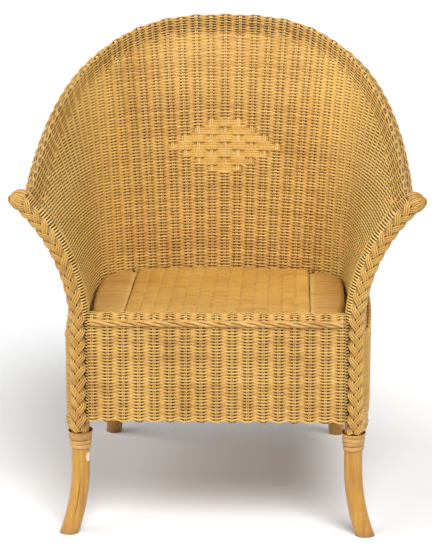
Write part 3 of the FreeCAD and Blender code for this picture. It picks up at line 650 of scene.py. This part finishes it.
# %% [markdown]
# ## Stakes and the rolled border
#
# The stakes are pairs of reeds that run up the shell, over the top hoop and down behind it, and the last rows
# of the weave go over the hoop with them. On the real chair that makes the rolled border with its row of
# humps. The sheet of the tub was given extra levels round the hoop, so stakes and rows need nothing new to
# follow it. The outer rows run on round the arm tips to a point. The hoop itself is drawn again, because its
# ends are skived thin where they lie behind the arm tips.

# %% Stakes of the tub
UNSHADED_STAKES, SHADE_GROWS = 10, 6


def set_stakes(node, sheet, per_side, hole_shade=0.0):
    """Pairs of upright reeds on a sheet. Painted shade grows on the inner side of those outside the unshaded
    ones in the middle.
    """
    lines = []
    for k in range(-per_side, per_side + 1):
        lines += sheet.stake_pair(k, hole_shade * min(max((abs(k) - UNSHADED_STAKES) / SHADE_GROWS, 0), 1))
    lay(node + "_reed", lines, round_section(STAKE_REED), stake_reed, node)


# Shade is painted on the inner side of the stakes on the flanks.
set_stakes("tub_stakes", tub, STAKES_PER_SIDE, 1.6)

# %% Rows of the border
BORDER_ROWS, WRAPPED_ROWS, INNER_ROWS = 34, 15, 13
TIP_REEDS_END = 0.0030
narrowing = np.linspace(1.1, 0.45, 8)
arm_tip = np.array([ARM_TIP_X, FRONT_LINE, ARM_TIP_Z])
tip_out = np.array([math.cos(ARM_SWEEP), 0, -math.sin(ARM_SWEEP)])
tip_ahead = np.array([math.sin(ARM_SWEEP), 0, math.cos(ARM_SWEEP)])
tip_point = unit(tip_ahead + tip_out * 0.35)


def to_tip(end):
    """Carry a border reed's end round the arm's tip to the point at its outer side."""
    mirror = np.array([math.copysign(1, end[0]), 1, 1])
    tip, goal = arm_tip * mirror, tip_point * mirror
    ray = end - tip
    reach = np.linalg.norm(ray)
    between = math.acos(ray @ goal / reach)
    part = np.linspace(0, 1, len(narrowing) + 1)[1:, None]
    rays = np.sin((1 - part) * between) * ray / reach + np.sin(part * between) * goal
    rays = rays / math.sin(between)
    return tip + rays * (reach + (LEG_R + TIP_REEDS_END - reach) * part), rays


row_part = (np.arange(BORDER_ROWS)[:, None] + 0.5) / BORDER_ROWS
border_heights = rim_height - BORDER + row_part * (tub.height[:, -1] - rim_height + BORDER)
hump = 0.0008 * np.cos(2 * np.pi * tub_stakes) * np.linspace(0, 1, BORDER_ROWS)[:, None]
border_swing = np.where(np.arange(BORDER_ROWS)[:, None] < INNER_ROWS, SWING, SWING * 0.62)
# The border's holes get stronger painted shade.
border_rows = swing_rows(tub, border_heights + hump, border_swing, 0.36, 1.35, first=row_count)
border_lines = wrap_ends(border_rows[:WRAPPED_ROWS])
for line in border_rows[WRAPPED_ROWS:]:
    points = line[0]
    border_lines.append(lengthen(line[:4], to_tip(points[0]), to_tip(points[-1]), narrowing))
lay("rim_border_reed", border_lines, round_section(0.0025), border_reed, "rim_border")
hoop_lines = [(hoop_line, rim_out, np.repeat(hoop_r / HOOP_R, 2, axis=1))]
lay("top_hoop_pole", hoop_lines, round_section(2 * HOOP_R, 20), binding_cane, "top_hoop")

# %% [markdown]
# ## Apron and rope border
#
# The apron is a flat panel of the same weave between the front legs. Along its top three rods are twisted
# like a rope in front of the stakes. Above the rope the weave goes on over the front rail and ends at the
# seat. A twist is a helix, so the rods are three helices a third of a turn apart, pressed a little flat.

# %% Surface of the apron and its fold over the rail
APRON_HALF, APRON_BACK_Y, APRON_DEPTH = 0.2174, -0.0143, 0.00425
APRON_EDGE, APRON_STAKES, APRON_PITCH = 0.0034, 8, 0.00278
SKIRT_BOTTOM = 0.211
RAIL_Z, ROPE_Z, ROPE_D = 0.378, 0.387, 0.015
stake_gap = (APRON_HALF - STAKE_REED - JOINT_GAP) / APRON_STAKES
apron_stakes = weave_places((APRON_HALF + APRON_EDGE) / stake_gap)
flat_z = np.linspace(SKIRT_BOTTOM, ROPE_Z + 0.002, 24)
fold_turn = np.radians(np.linspace(62, -14, 11))
fold_r = np.linspace(0.0188, 0.0212, 11)
apron_y = np.concatenate([np.full(len(flat_z), APRON_BACK_Y - APRON_DEPTH), -fold_r * np.sin(fold_turn)])
apron_z = np.concatenate([flat_z, RAIL_Z + fold_r * np.cos(fold_turn)])
apron_x = apron_stakes[:, None] * stake_gap
apron = Sheet(apron_stakes, np.stack(np.broadcast_arrays(apron_x, apron_y + FRONT_LINE, apron_z), -1))

# %% Weave the apron
BEHIND_BRAID = np.array([[0.0145, -0.0170], [0.0126, -0.0144], [0.0105, -0.0132]])


def scallops(stakes, count):
    """Droop of the lowest rows, which grows towards the lower edge."""
    return -0.0012 * np.cos(2 * np.pi * stakes) * np.exp(-np.arange(count) / 2.5)[:, None]


apron_rows = int(apron.height[0, -1] / APRON_PITCH)
apron_heights = (np.arange(apron_rows)[:, None] + 0.5) * APRON_PITCH + scallops(apron_stakes, apron_rows)
apron_heights = np.maximum(apron_heights + drift(apron_heights.shape, 0.0002), 0)
rows = []
for *line, turn_over, _, _ in swing_rows(apron, apron_heights, SWING, 0.27):
    points, out = line[:2]
    if turn_over > 0 and points[0, 2] < ROPE_Z:
        ends = []
        for side, last in ((-1, 0), (1, -1)):
            x, y = side * (LEG_X - BEHIND_BRAID[:, 0]), FRONT_LINE + BEHIND_BRAID[:, 1]
            ends.append((np.stack([x, y, np.full(3, points[0, 2])], -1), np.broadcast_to(out[last], (3, 3))))
        line = lengthen(line, *ends, 0.9)
    rows.append(line)
lay("apron_weave_reed", rows, weaver, apron_reed, "apron_weave")
set_stakes("apron_stakes", apron, APRON_STAKES)

# %% Twist the rope
forward = np.array([0.0, -1.0, 0.0])
upward = np.array([0.0, 0.0, 1.0])


def twisted(path, out, reach_out, reach_up, pitch, rods):
    """Lines of rods twisted together along a level path."""
    run = run_along(path)
    lines = []
    for k in range(rods):
        angle = (2 * np.pi * (k / rods - run / pitch))[:, None]
        aside, above = out * np.cos(angle), upward * np.sin(angle)
        lines.append((path + aside * reach_out + above * reach_up, aside + above, 1.0))
    return lines


rope_x = np.linspace(-APRON_HALF, APRON_HALF, 161)
rope_y = FRONT_LINE + APRON_BACK_Y - ROPE_D / 2 + 0.0006
rope_path = np.stack(np.broadcast_arrays(rope_x, rope_y, ROPE_Z), -1)
rope_lines = twisted(rope_path, forward, 0.0030, 0.0036, 3 * stake_gap, 3)
lay("rope_border_reed", rope_lines, flat_section(0.0052, 0.0046, 12), rope_reed, "rope_border")

# %% [markdown]
# ## Skirt
#
# The skirt hangs outside the seat hoop and closes the sides and the back under the seat. It leans back round
# the rear legs. It is woven like the apron, on the same number of stakes as the tub. Three twists of two thin
# rods each, laid side by side, close its top where the chair shows a ledge.

# %% Surface of the skirt
SKIRT_TOP, SKIRT_MIDDLE, SKIRT_OUT, LEAN_START = TUB_BEND_Z, 0.03875, 0.0430, 0.92
corner_share = (BACK_LENGTH + CORNER_LENGTH) / FOOT_LENGTH
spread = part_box("skirt_weave")[1].y - (TUB_BACK_Y + SKIRT_OUT + FRONT_LINE)
lean = spread * eased(np.clip((LEAN_START - share) / (LEAN_START - corner_share), 0, 1))
skirt_levels = []
for z in np.linspace(SKIRT_BOTTOM, SKIRT_TOP, 8):
    points = foot_line(tub_stakes, SKIRT_MIDDLE, z)[0]
    points[:, 1] += lean * (SKIRT_TOP - z) / (SKIRT_TOP - SKIRT_BOTTOM)
    skirt_levels.append(points)
skirt = Sheet(tub_stakes, np.stack(skirt_levels, 1))
skirt_rows = int(skirt.height[0, -1] / APRON_PITCH)
skirt_heights = (np.arange(skirt_rows)[:, None] + 0.5) / skirt_rows * skirt.height[:, -1]
skirt_heights = skirt_heights + scallops(tub_stakes, skirt_rows)
skirt_heights = np.maximum(skirt_heights + drift(skirt_heights.shape, 0.0002), 0)

# %% Weave the skirt
SKIRT_PIECES, END_WIDTH, END_ROWS = 2, 0.8, 7
TURN_END, REED_OVER_LEG = math.radians(-44), 0.0015


def skirt_turn(end, reach_start, angle_start, count=8):
    """Points that bring a skirt reed's end forward round the outer side of a front leg, under the braid."""
    side = math.copysign(1, end[0])
    part = np.linspace(0, 1, count + 1)[1:]
    angle = angle_start + (TURN_END - angle_start) * part
    reach = reach_start + (LEG_R + REED_OVER_LEG - reach_start) * eased(part)
    rays = np.stack([side * np.cos(angle), np.sin(angle), np.zeros(count)], -1)
    centre = np.array([side * LEG_X, FRONT_LINE, end[2]])
    return centre + rays * reach[:, None], rays


rows = []
for *line, turn_over, _, _ in swing_rows(skirt, skirt_heights, SWING, 0.34, far=-1):
    ends = []
    for point in line[0][[0, -1]]:
        beside, behind = abs(point[0]) - LEG_X, point[1] - FRONT_LINE
        reach = math.hypot(beside, behind) + 0.0006 * turn_over
        ends.append(skirt_turn(point, reach, math.atan2(behind, beside)))
    rows.append(lengthen(line, *ends, END_WIDTH))
for side in (-1, 1):
    for k in range(END_ROWS):
        reach = 0.0290 - 0.0002 * k * k + 0.0012 * (k % 2)
        for z in (SKIRT_BOTTOM - (k + 0.5) * APRON_PITCH, SKIRT_TOP + (k + 0.5) * APRON_PITCH):
            points, out = skirt_turn(np.array([side, 0, z]), reach, math.radians(50), 12)
            rows.append((points, out, END_WIDTH))
for k in range(SKIRT_PIECES):
    lay("skirt_weave_%d" % (k + 1), rows[k::SKIRT_PIECES], weaver, apron_reed, "skirt_weave")
set_stakes("skirt_stakes", skirt, STAKES_PER_SIDE)

# %% Close its top with the ledge
LEDGE_RISE, LEDGE_TWIST, LEDGE_PITCH = 0.0043, 0.0019, 0.045
ledge_lines = []
for inwards in (0, 0.0075, 0.015):
    path, path_out = foot_line(np.linspace(-EDGE, EDGE, 441), SKIRT_MIDDLE - inwards, SKIRT_TOP + LEDGE_RISE)
    ledge_lines += twisted(path, path_out, LEDGE_TWIST, LEDGE_TWIST, LEDGE_PITCH, 2)
lay("ledge_border_reed", ledge_lines, round_section(0.0042, 8), border_reed, "ledge_border")

# %% [markdown]
# ## Seat
#
# The seat is a close mat of fine reed laid across thirteen columns, with a crescent of the same work on
# either side and a slot between. Each row dips at the seams between the columns and bows towards the back
# inside them. The rows are so tight that no holes show, and use has rubbed them smooth.

# %% Surface of the seat
SEAT_TILT, SEAT_TOP = math.radians(4.4), 0.0223
MAT_HALF, SLOT, WALL_ROOM = 0.160, 0.005, 0.0076
SEAT_REED, SEAT_PITCH = 0.0026, 0.0023
seat_out = np.array([0.0, math.sin(SEAT_TILT), math.cos(SEAT_TILT)])


def seat_point(x, y, above):
    """Point over the seat: y runs back along it, above is the height over the front rail's middle."""
    z = RAIL_Z + above * math.cos(SEAT_TILT) - y * math.sin(SEAT_TILT)
    return np.stack([x, FRONT_LINE + y * math.cos(SEAT_TILT) + above * math.sin(SEAT_TILT), z], -1)


wall = foot_line(np.linspace(0, EDGE, 600), -WALL_ROOM, 0.0)[0]
wall_y, wall_x = wall[::-1, 1] - FRONT_LINE, wall[::-1, 0]
back_limit = wall_y.max()

# %% Seat mat
COLUMNS, MAT_CROWN, ROW_BOW, SEAM_DIP = 13, 0.0020, 0.0022, 0.0008
FRONT_ROWS = 110
mat_lines, mat_tones = [], []
column_tone = rng.uniform(-0.12, 0.12, COLUMNS)
for k in range(int((back_limit - 0.006) / SEAT_PITCH)):
    y = 0.002 + k * SEAT_PITCH
    reach = min(MAT_HALF, np.interp(y, wall_y, wall_x) - 0.001)
    x = np.linspace(-reach, reach, COLUMNS * 7 + 1)
    column = np.clip((x + MAT_HALF) / (2 * MAT_HALF) * COLUMNS, 0, COLUMNS - 1e-6)
    crown = 1 - (2 * (column % 1) - 1)**2
    seam = np.rint(column).astype(int)
    dip = np.exp(-((column - seam - rng.normal(0, 0.03, COLUMNS + 1)[seam]) / 0.06)**2)
    above = SEAT_TOP - SEAT_REED / 2 - MAT_CROWN * (1 - crown) - SEAM_DIP * dip
    # Shade painted on top of the rows where they dip at the seams, and in the grooves between rows.
    dark = -rng.uniform(0.1, 1.1, COLUMNS + 1)[seam] * dip
    groove = rng.uniform(0.1, 0.5)
    mat_lines.append((seat_point(x, y + ROW_BOW * crown, above), seat_out, 1.0, dark, groove))
    streak = np.where(rng.random(COLUMNS) < 0.12, -0.9, rng.uniform(-0.25, 0.25, COLUMNS))
    mat_tones.append(rng.uniform(0.35, 0.65) + (column_tone + streak)[column.astype(int)])
for name, some in (("front", slice(0, FRONT_ROWS)), ("back", slice(FRONT_ROWS, None))):
    lay("seat_mat_%s_reed" % name, mat_lines[some], round_section(SEAT_REED), seat_reed,
        "seat_mat", mat_tones[some])

# %% Rods under the mat
ROD_D, ROD_DROP = 0.0036, 0.0065
rods = []
for k in range(COLUMNS + 1):
    x = (2 * k / COLUMNS - 1) * (MAT_HALF - 0.002)
    reach = np.interp(abs(x), wall_x[::-1], wall_y[::-1]) if abs(x) > wall_x.min() else back_limit
    y = np.linspace(0.001, min(reach, back_limit) - 0.004, 12)
    rods.append((seat_point(np.full(12, x), y, SEAT_TOP - ROD_DROP), seat_out, 1.0))
lay("seat_mat_rods", rods, round_section(ROD_D), seat_reed, "seat_mat")

# %% Seat crescents
SIDES = (-1, "left"), (1, "right")
SIDE_CROWN, SIDE_DROP, SIDE_SLANT = 0.0030, 0.0034, 0.010
s = np.linspace(0, 1, 9)
crown = SIDE_CROWN * np.sin(np.pi * np.clip(s * 0.9 + 0.1, 0, 1))
above = SEAT_TOP - SEAT_REED / 2 - SIDE_DROP + crown
for side, name in SIDES:
    lines, tones = [], []
    for k in range(int(back_limit / SEAT_PITCH)):
        y = -0.006 + k * SEAT_PITCH
        inner = MAT_HALF + SLOT - 0.0036 + 0.0026 * (y / back_limit)**2
        outer = np.interp(y, wall_y, wall_x) + 0.0010
        if 0.012 < outer - inner < 0.034:
            inner += 0.009
        if outer - inner < 0.004:
            continue
        x = inner + (outer - inner) * s
        points = seat_point(side * x, np.maximum(y + SIDE_SLANT * (s - 0.5), -0.004), above)
        # Shade painted in the grooves between rows, and a painted highlight along the edge by the slot.
        lines.append((points, seat_out, 1.0, 0.0, rng.uniform(0.1, 0.8)))
        tones.append(rng.uniform(-0.2, 1.0) + 1.2 * np.exp(-(s / 0.1)**2))
    lay("seat_side_%s_reed" % name, lines, round_section(SEAT_REED), crescent_reed,
        "seat_side_" + name, tones)

# %% [markdown]
# ## Arm braids
#
# A flat braid of three strands runs down the front of each arm pole, and its end is turned over the arm's tip
# as a knob. In a three-strand braid every strand swings from edge to edge, a third of a turn behind the one
# before, and rises over one neighbour and dives under the other twice in each swing. So its place across the
# pole is a sine with straightened flanks and its height is a sine of twice the angle. Each strand is three
# narrow canes side by side.

# %% Places on the front of the arm poles
BRAID_FOOT, BRAID_TURN, UNDER_BRAID = 0.1893, math.radians(9), 0.002
straight = ARM_BEND_Z - BRAID_FOOT
braid_length = straight + ARM_BEND_R * ARM_SWEEP


def on_pole(run, across, lift, side):
    """Points and outward directions on an arm pole, by the length up from the braid's foot, the distance
    round from the pole's front and the height over its face."""
    turn = np.clip(run - straight, 0, None) / ARM_BEND_R
    x = LEG_X + ARM_BEND_R * (1 - np.cos(turn))
    z = np.where(run < straight, BRAID_FOOT + run, ARM_BEND_Z + ARM_BEND_R * np.sin(turn))
    centre = np.stack(np.broadcast_arrays(x, FRONT_LINE, z), -1)
    outer_side = np.stack([np.cos(turn), np.zeros_like(turn), -np.sin(turn)], -1)
    angle = (across / (LEG_R + UNDER_BRAID))[:, None] + BRAID_TURN
    ray = outer_side * np.sin(angle) + forward * np.cos(angle)
    points = centre + ray * (LEG_R + lift)[:, None]
    return points * [side, 1, 1], ray * [side, 1, 1]


# %% Braid and knob
BRAID_PERIOD, BRAID_REACH, CANE_STEP, CANE_T = 0.0667, 0.00936, 0.0035, 0.0017


def braid_lines(side):
    """Nine canes of one braid, with a tone for each."""
    run = np.arange(0, braid_length, 0.0018)
    lines, tones = [], []
    for strand in range(3):
        angle = 2 * np.pi * (run / BRAID_PERIOD + strand / 3)
        across = BRAID_REACH * (np.sin(angle) - np.sin(3 * angle) / 9)
        slope = 2 * np.pi * BRAID_REACH / BRAID_PERIOD * (np.cos(angle) - np.cos(3 * angle) / 3)
        lift = 0.0026 + 0.0016 * np.sin(2 * angle)
        # Shade painted where a strand dives under its neighbours.
        dive = -np.clip(-np.sin(2 * angle), 0, 1)
        for cane in (-1, 0, 1):
            square = cane * CANE_STEP / np.sqrt(1 + slope**2)
            place_up = np.clip(run - square * slope, 0, braid_length)
            lines.append((*on_pole(place_up, across + square, lift - 0.0003 * cane**2, side), 1.0, dive))
            tones.append(rng.uniform(0.2, 0.8))
    return lines, tones


def knob_lines(side):
    """Canes turned over the end of the arm, from all round it to a point at the tip's outer side."""
    first = unit(np.cross(tip_point, [0, 1, 0]))
    second = np.cross(tip_point, first)
    turn = np.radians(np.linspace(-22, 84, 16))[:, None]
    width = 0.25 + 0.75 * np.cos(turn[:, 0])
    lines = []
    for lean in np.linspace(0, 2 * np.pi, 29)[:-1]:
        axis = first * math.cos(lean) + second * math.sin(lean)
        ray = axis * np.cos(turn) + tip_point * np.sin(turn)
        points = arm_tip + ray * (LEG_R + 0.0013 + 0.0005 * math.cos(14 * lean))
        lines.append((points * [side, 1, 1], ray * [side, 1, 1], width))
    return lines


for side, name in SIDES:
    lines, tones = braid_lines(side)
    node = "arm_braid_" + name
    lay(node + "_cane", lines, flat_section(CANE_STEP * 0.92, CANE_T, 8), braid_cane, node, tones)
    knob_cane = flat_section(0.0036, CANE_T, 8)
    lay("arm_knob_%s_cane" % name, knob_lines(side), knob_cane, braid_cane, node)

# %% [markdown]
# ## Cane bindings
#
# Flat cane is wound round each front leg below the braid, and its top turns stand off as a small cup. Each
# turn is a flat section swept round the leg on a slight slope, as a real winding climbs.

# %% Bindings on the front legs
BINDING_FOOT, TURN_H, CUP_H, CUP_TURNS = 0.159, 0.0072, 0.0084, 4
TURN_REACH = (0.0014, 0.0021, 0.0027)
around = np.linspace(0, 2 * np.pi, 65)
ray = np.stack([np.cos(around), np.sin(around), np.zeros(65)], -1)


def winding(side, z, reach, slope, phase):
    """One turn of cane round a front leg, at a height and a distance from it, higher on one side."""
    centre = np.array([side * LEG_X, FRONT_LINE, z])
    rise = slope * np.sin(around + phase)
    return centre + ray * (LEG_R + reach) + rise[:, None] * upward, ray, 1.0


for side, name in SIDES:
    node = "leg_binding_" + name
    turns = []
    for k, reach in enumerate(TURN_REACH):
        turns.append(winding(side, BINDING_FOOT + (k + 0.5) * TURN_H, reach, 0.0008, 1.7 * k + side))
    lay(node + "_cane", turns, flat_section(TURN_H * 1.02, 0.0022, 12), binding_cane, node)
    cup = []
    for k in range(CUP_TURNS):
        z = BINDING_FOOT + len(TURN_REACH) * TURN_H + (k + 0.4) * CUP_H / CUP_TURNS
        cup.append(winding(side, z, 0.0030 + 0.0006 * k, 0.0004 * k, 0.3))
    cup_section = flat_section(CUP_H / CUP_TURNS * 1.2, 0.0015, 12)
    lay("leg_cup_%s_cane" % name, cup, cup_section, binding_cane, node)

# %% [markdown]
# ## Rattan poles
#
# The legs are peeled and varnished rattan: honey coloured, with long pale and brown streaks, scuffed brown at
# the feet. The left leg has a drying crack down its front and a small pale chip. The streaks are noise
# stretched along the pole, and the crack is a thin mask round a line that bends with the leg. Where a pole
# shows between the reeds behind its braid, shade is painted on it in dark brown.

# %% Finish for the poles
FOOT_BEND_Z, FOOT_BEND_R = 0.130, 0.390


def pole_finish(name, crack):
    """Honey coloured pole, worn at the foot, with painted shade where it shows behind the braid, with or
    without the crack and chip.
    """
    material, shader, value = new_finish(name)
    where = value.make("TexCoord", output=3)
    normal = value.make("TexCoord", output=1)
    across, depth, height = (value.make("SeparateXYZ", None, {"Vector": where}, axis) for axis in range(3))
    behind = depth - FRONT_LINE
    stretched = value.make("Mapping", None, {"Vector": where, "Scale": (150, 150, 5)})
    streaks = stretched.noise(1.0, 4.0, 0.65)
    blotch = where.noise(16.0, 3.0)
    fine_grain = stretched.noise(5.0, 2.0)
    shade = streaks * 0.7 + blotch * 0.45
    honey = shade.ramp(0.38, 0.62).blend(srgb(156, 102, 30), srgb(186, 134, 44))
    honey = shade.ramp(0.60, 0.80).blend(honey, srgb(206, 160, 68))
    worn = 1 - (height + blotch * 0.03 - 0.012).ramp(0.0, 0.02)
    colour = (worn * 0.75).blend(honey, srgb(140, 100, 62))
    # Painted shade in dark brown on the pole where it shows between the reeds behind the braid: its front and
    # its inner side.
    facing = value.make("SeparateXYZ", None, {"Vector": normal}, 0)
    inner = (1 - (across * facing).ramp(-0.12, -0.02)) * (1 - behind.ramp(-0.002, 0.004))
    front = 1 - behind.ramp(-0.0125, -0.0105)
    braid_shadow = value.math("MAXIMUM", inner * height.ramp(0.208, 0.214), front * height.ramp(0.184, 0.190))
    colour = braid_shadow.blend(colour, srgb(58, 32, 12))
    mark = worn * 0.3
    if crack:
        below = FOOT_BEND_Z - height
        line = across + LEG_X + below * below / (2 * FOOT_BEND_R) - 0.0005 + (streaks - 0.5) * 0.003
        seam = (1 - abs(line).ramp(0.0004, 0.0014)) * (height.ramp(0.018, 0.05) - height.ramp(0.085, 0.125))
        seam = seam * (0 - behind).ramp(0.0, 0.004)
        colour = (seam * 0.8).blend(colour, srgb(110, 66, 26))
        chip_x = (across + LEG_X - LEG_R + 0.0016) / 0.004
        chip_z = (height - 0.142) / 0.0085
        chip = 1 - (chip_x * chip_x + chip_z * chip_z).ramp(0.6, 1.2)
        colour = chip.blend(colour, srgb(248, 224, 186))
        mark = mark + seam
    connect(colour, shader, "Base Color")
    connect(blotch * 0.25 + worn * 0.3 + 0.24, shader, "Roughness")
    relief = fine_grain - mark * 1.5
    bump = value.make("Bump", None, {"Strength": 0.35, "Distance": 0.0006, "Height": relief})
    connect(bump, shader, "Normal")
    shader.inputs["Coat Weight"].default_value = 0.25
    shader.inputs["Coat Roughness"].default_value = 0.3
    return material


plain_pole = pole_finish("rattan_pole", False)
cracked_pole = pole_finish("rattan_pole_cracked", True)
shown = [name for name, node in nodes.items() if not node.hide_render]
for name in shown:
    nodes[name].data.materials.clear()
    nodes[name].data.materials.append(cracked_pole if name == "front_leg_left" else plain_pole)
print("poles:", ", ".join(shown))

# %% [markdown]
# ## Floor, light and camera
#
# The photo is a studio picture on white: soft light from the front and a little from the right, and a grey
# shadow under the seat and to the left. Area lamps would leave the far floor grey, so two soft suns light it
# evenly, and a dim white world fills the shadow. The floor is pale and glows a little where it is looked at,
# but doesn't light the chair by that, so its lit parts turn white and the shadow stays.

# %% Floor
FLOOR = 30


def seen(value):
    """1 where the camera looks, also in metal or through glass, and 0 for the light on the chair."""
    rays = ("Camera", "Glossy", "Transmission")
    return sum(value.make("LightPath", output="Is %s Ray" % ray) for ray in rays).ramp(0, 1)


floor_mesh = bpy.data.meshes.new("floor")
corners = [(-FLOOR, -FLOOR, 0), (FLOOR, -FLOOR, 0), (FLOOR, FLOOR, 0), (-FLOOR, FLOOR, 0)]
floor_mesh.from_pydata(corners, [], [(0, 1, 2, 3)])
add_object("floor", floor_mesh)
paper, paper_shader, value = new_finish("floor_paper")
paper_shader.inputs["Base Color"].default_value = (0.92, 0.92, 0.92, 1)
paper_shader.inputs["Roughness"].default_value = 0.9
paper_shader.inputs["Specular IOR Level"].default_value = 0.0
glow = seen(value).blend((0, 0, 0, 1), (0.095, 0.10, 0.105, 1))
connect(glow, paper_shader, "Emission Color")
paper_shader.inputs["Emission Strength"].default_value = 1.0
floor_mesh.materials.append(paper)

# %% Light
world = bpy.data.worlds.new("studio")
bpy.context.scene.world = world
world.use_nodes = True
backdrop = seen(Value(world.node_tree)).blend((0.14, 0.14, 0.14, 1), (1, 1, 1, 1))
connect(backdrop, world.node_tree.nodes["Background"], "Color")


def soft_sun(name, turn, rise, softness, strength):
    """Distant soft light: turned from straight in front towards the right, at an angle above the floor."""
    lamp = bpy.data.lights.new(name, "SUN")
    lamp.angle = math.radians(softness)
    lamp.energy = strength
    add_object(name, lamp).rotation_euler = (math.radians(90 - rise), 0, math.radians(turn))


soft_sun("key", 16, 48, 32, 2.9)
soft_sun("fill", -65, 32, 60, 1.6)

# %% Camera
AZIMUTH, DISTANCE, EYE_HEIGHT, LOOK_DOWN = math.radians(1.7), 4.0, 1.495, 0.25117
PICTURE_WIDTH, PICTURE_HEIGHT, MIDDLE_X, FOCAL_PIXELS, SENSOR = 432, 549, 216.8, 2421, 36
camera = bpy.data.cameras.new("camera")
holder = add_object("camera", camera)
holder.location = (DISTANCE * math.sin(AZIMUTH), FRONT_LINE - DISTANCE * math.cos(AZIMUTH), EYE_HEIGHT)
holder.rotation_euler = (math.pi / 2 - LOOK_DOWN, 0, AZIMUTH)
camera.lens = FOCAL_PIXELS / PICTURE_HEIGHT * SENSOR
camera.sensor_width = SENSOR
camera.shift_x = (PICTURE_WIDTH / 2 - MIDDLE_X) / PICTURE_HEIGHT
bpy.context.scene.camera = holder
bpy.context.scene.view_settings.view_transform = "Standard"
print("camera at", [round(v, 3) for v in holder.location], "lens", round(camera.lens, 1))
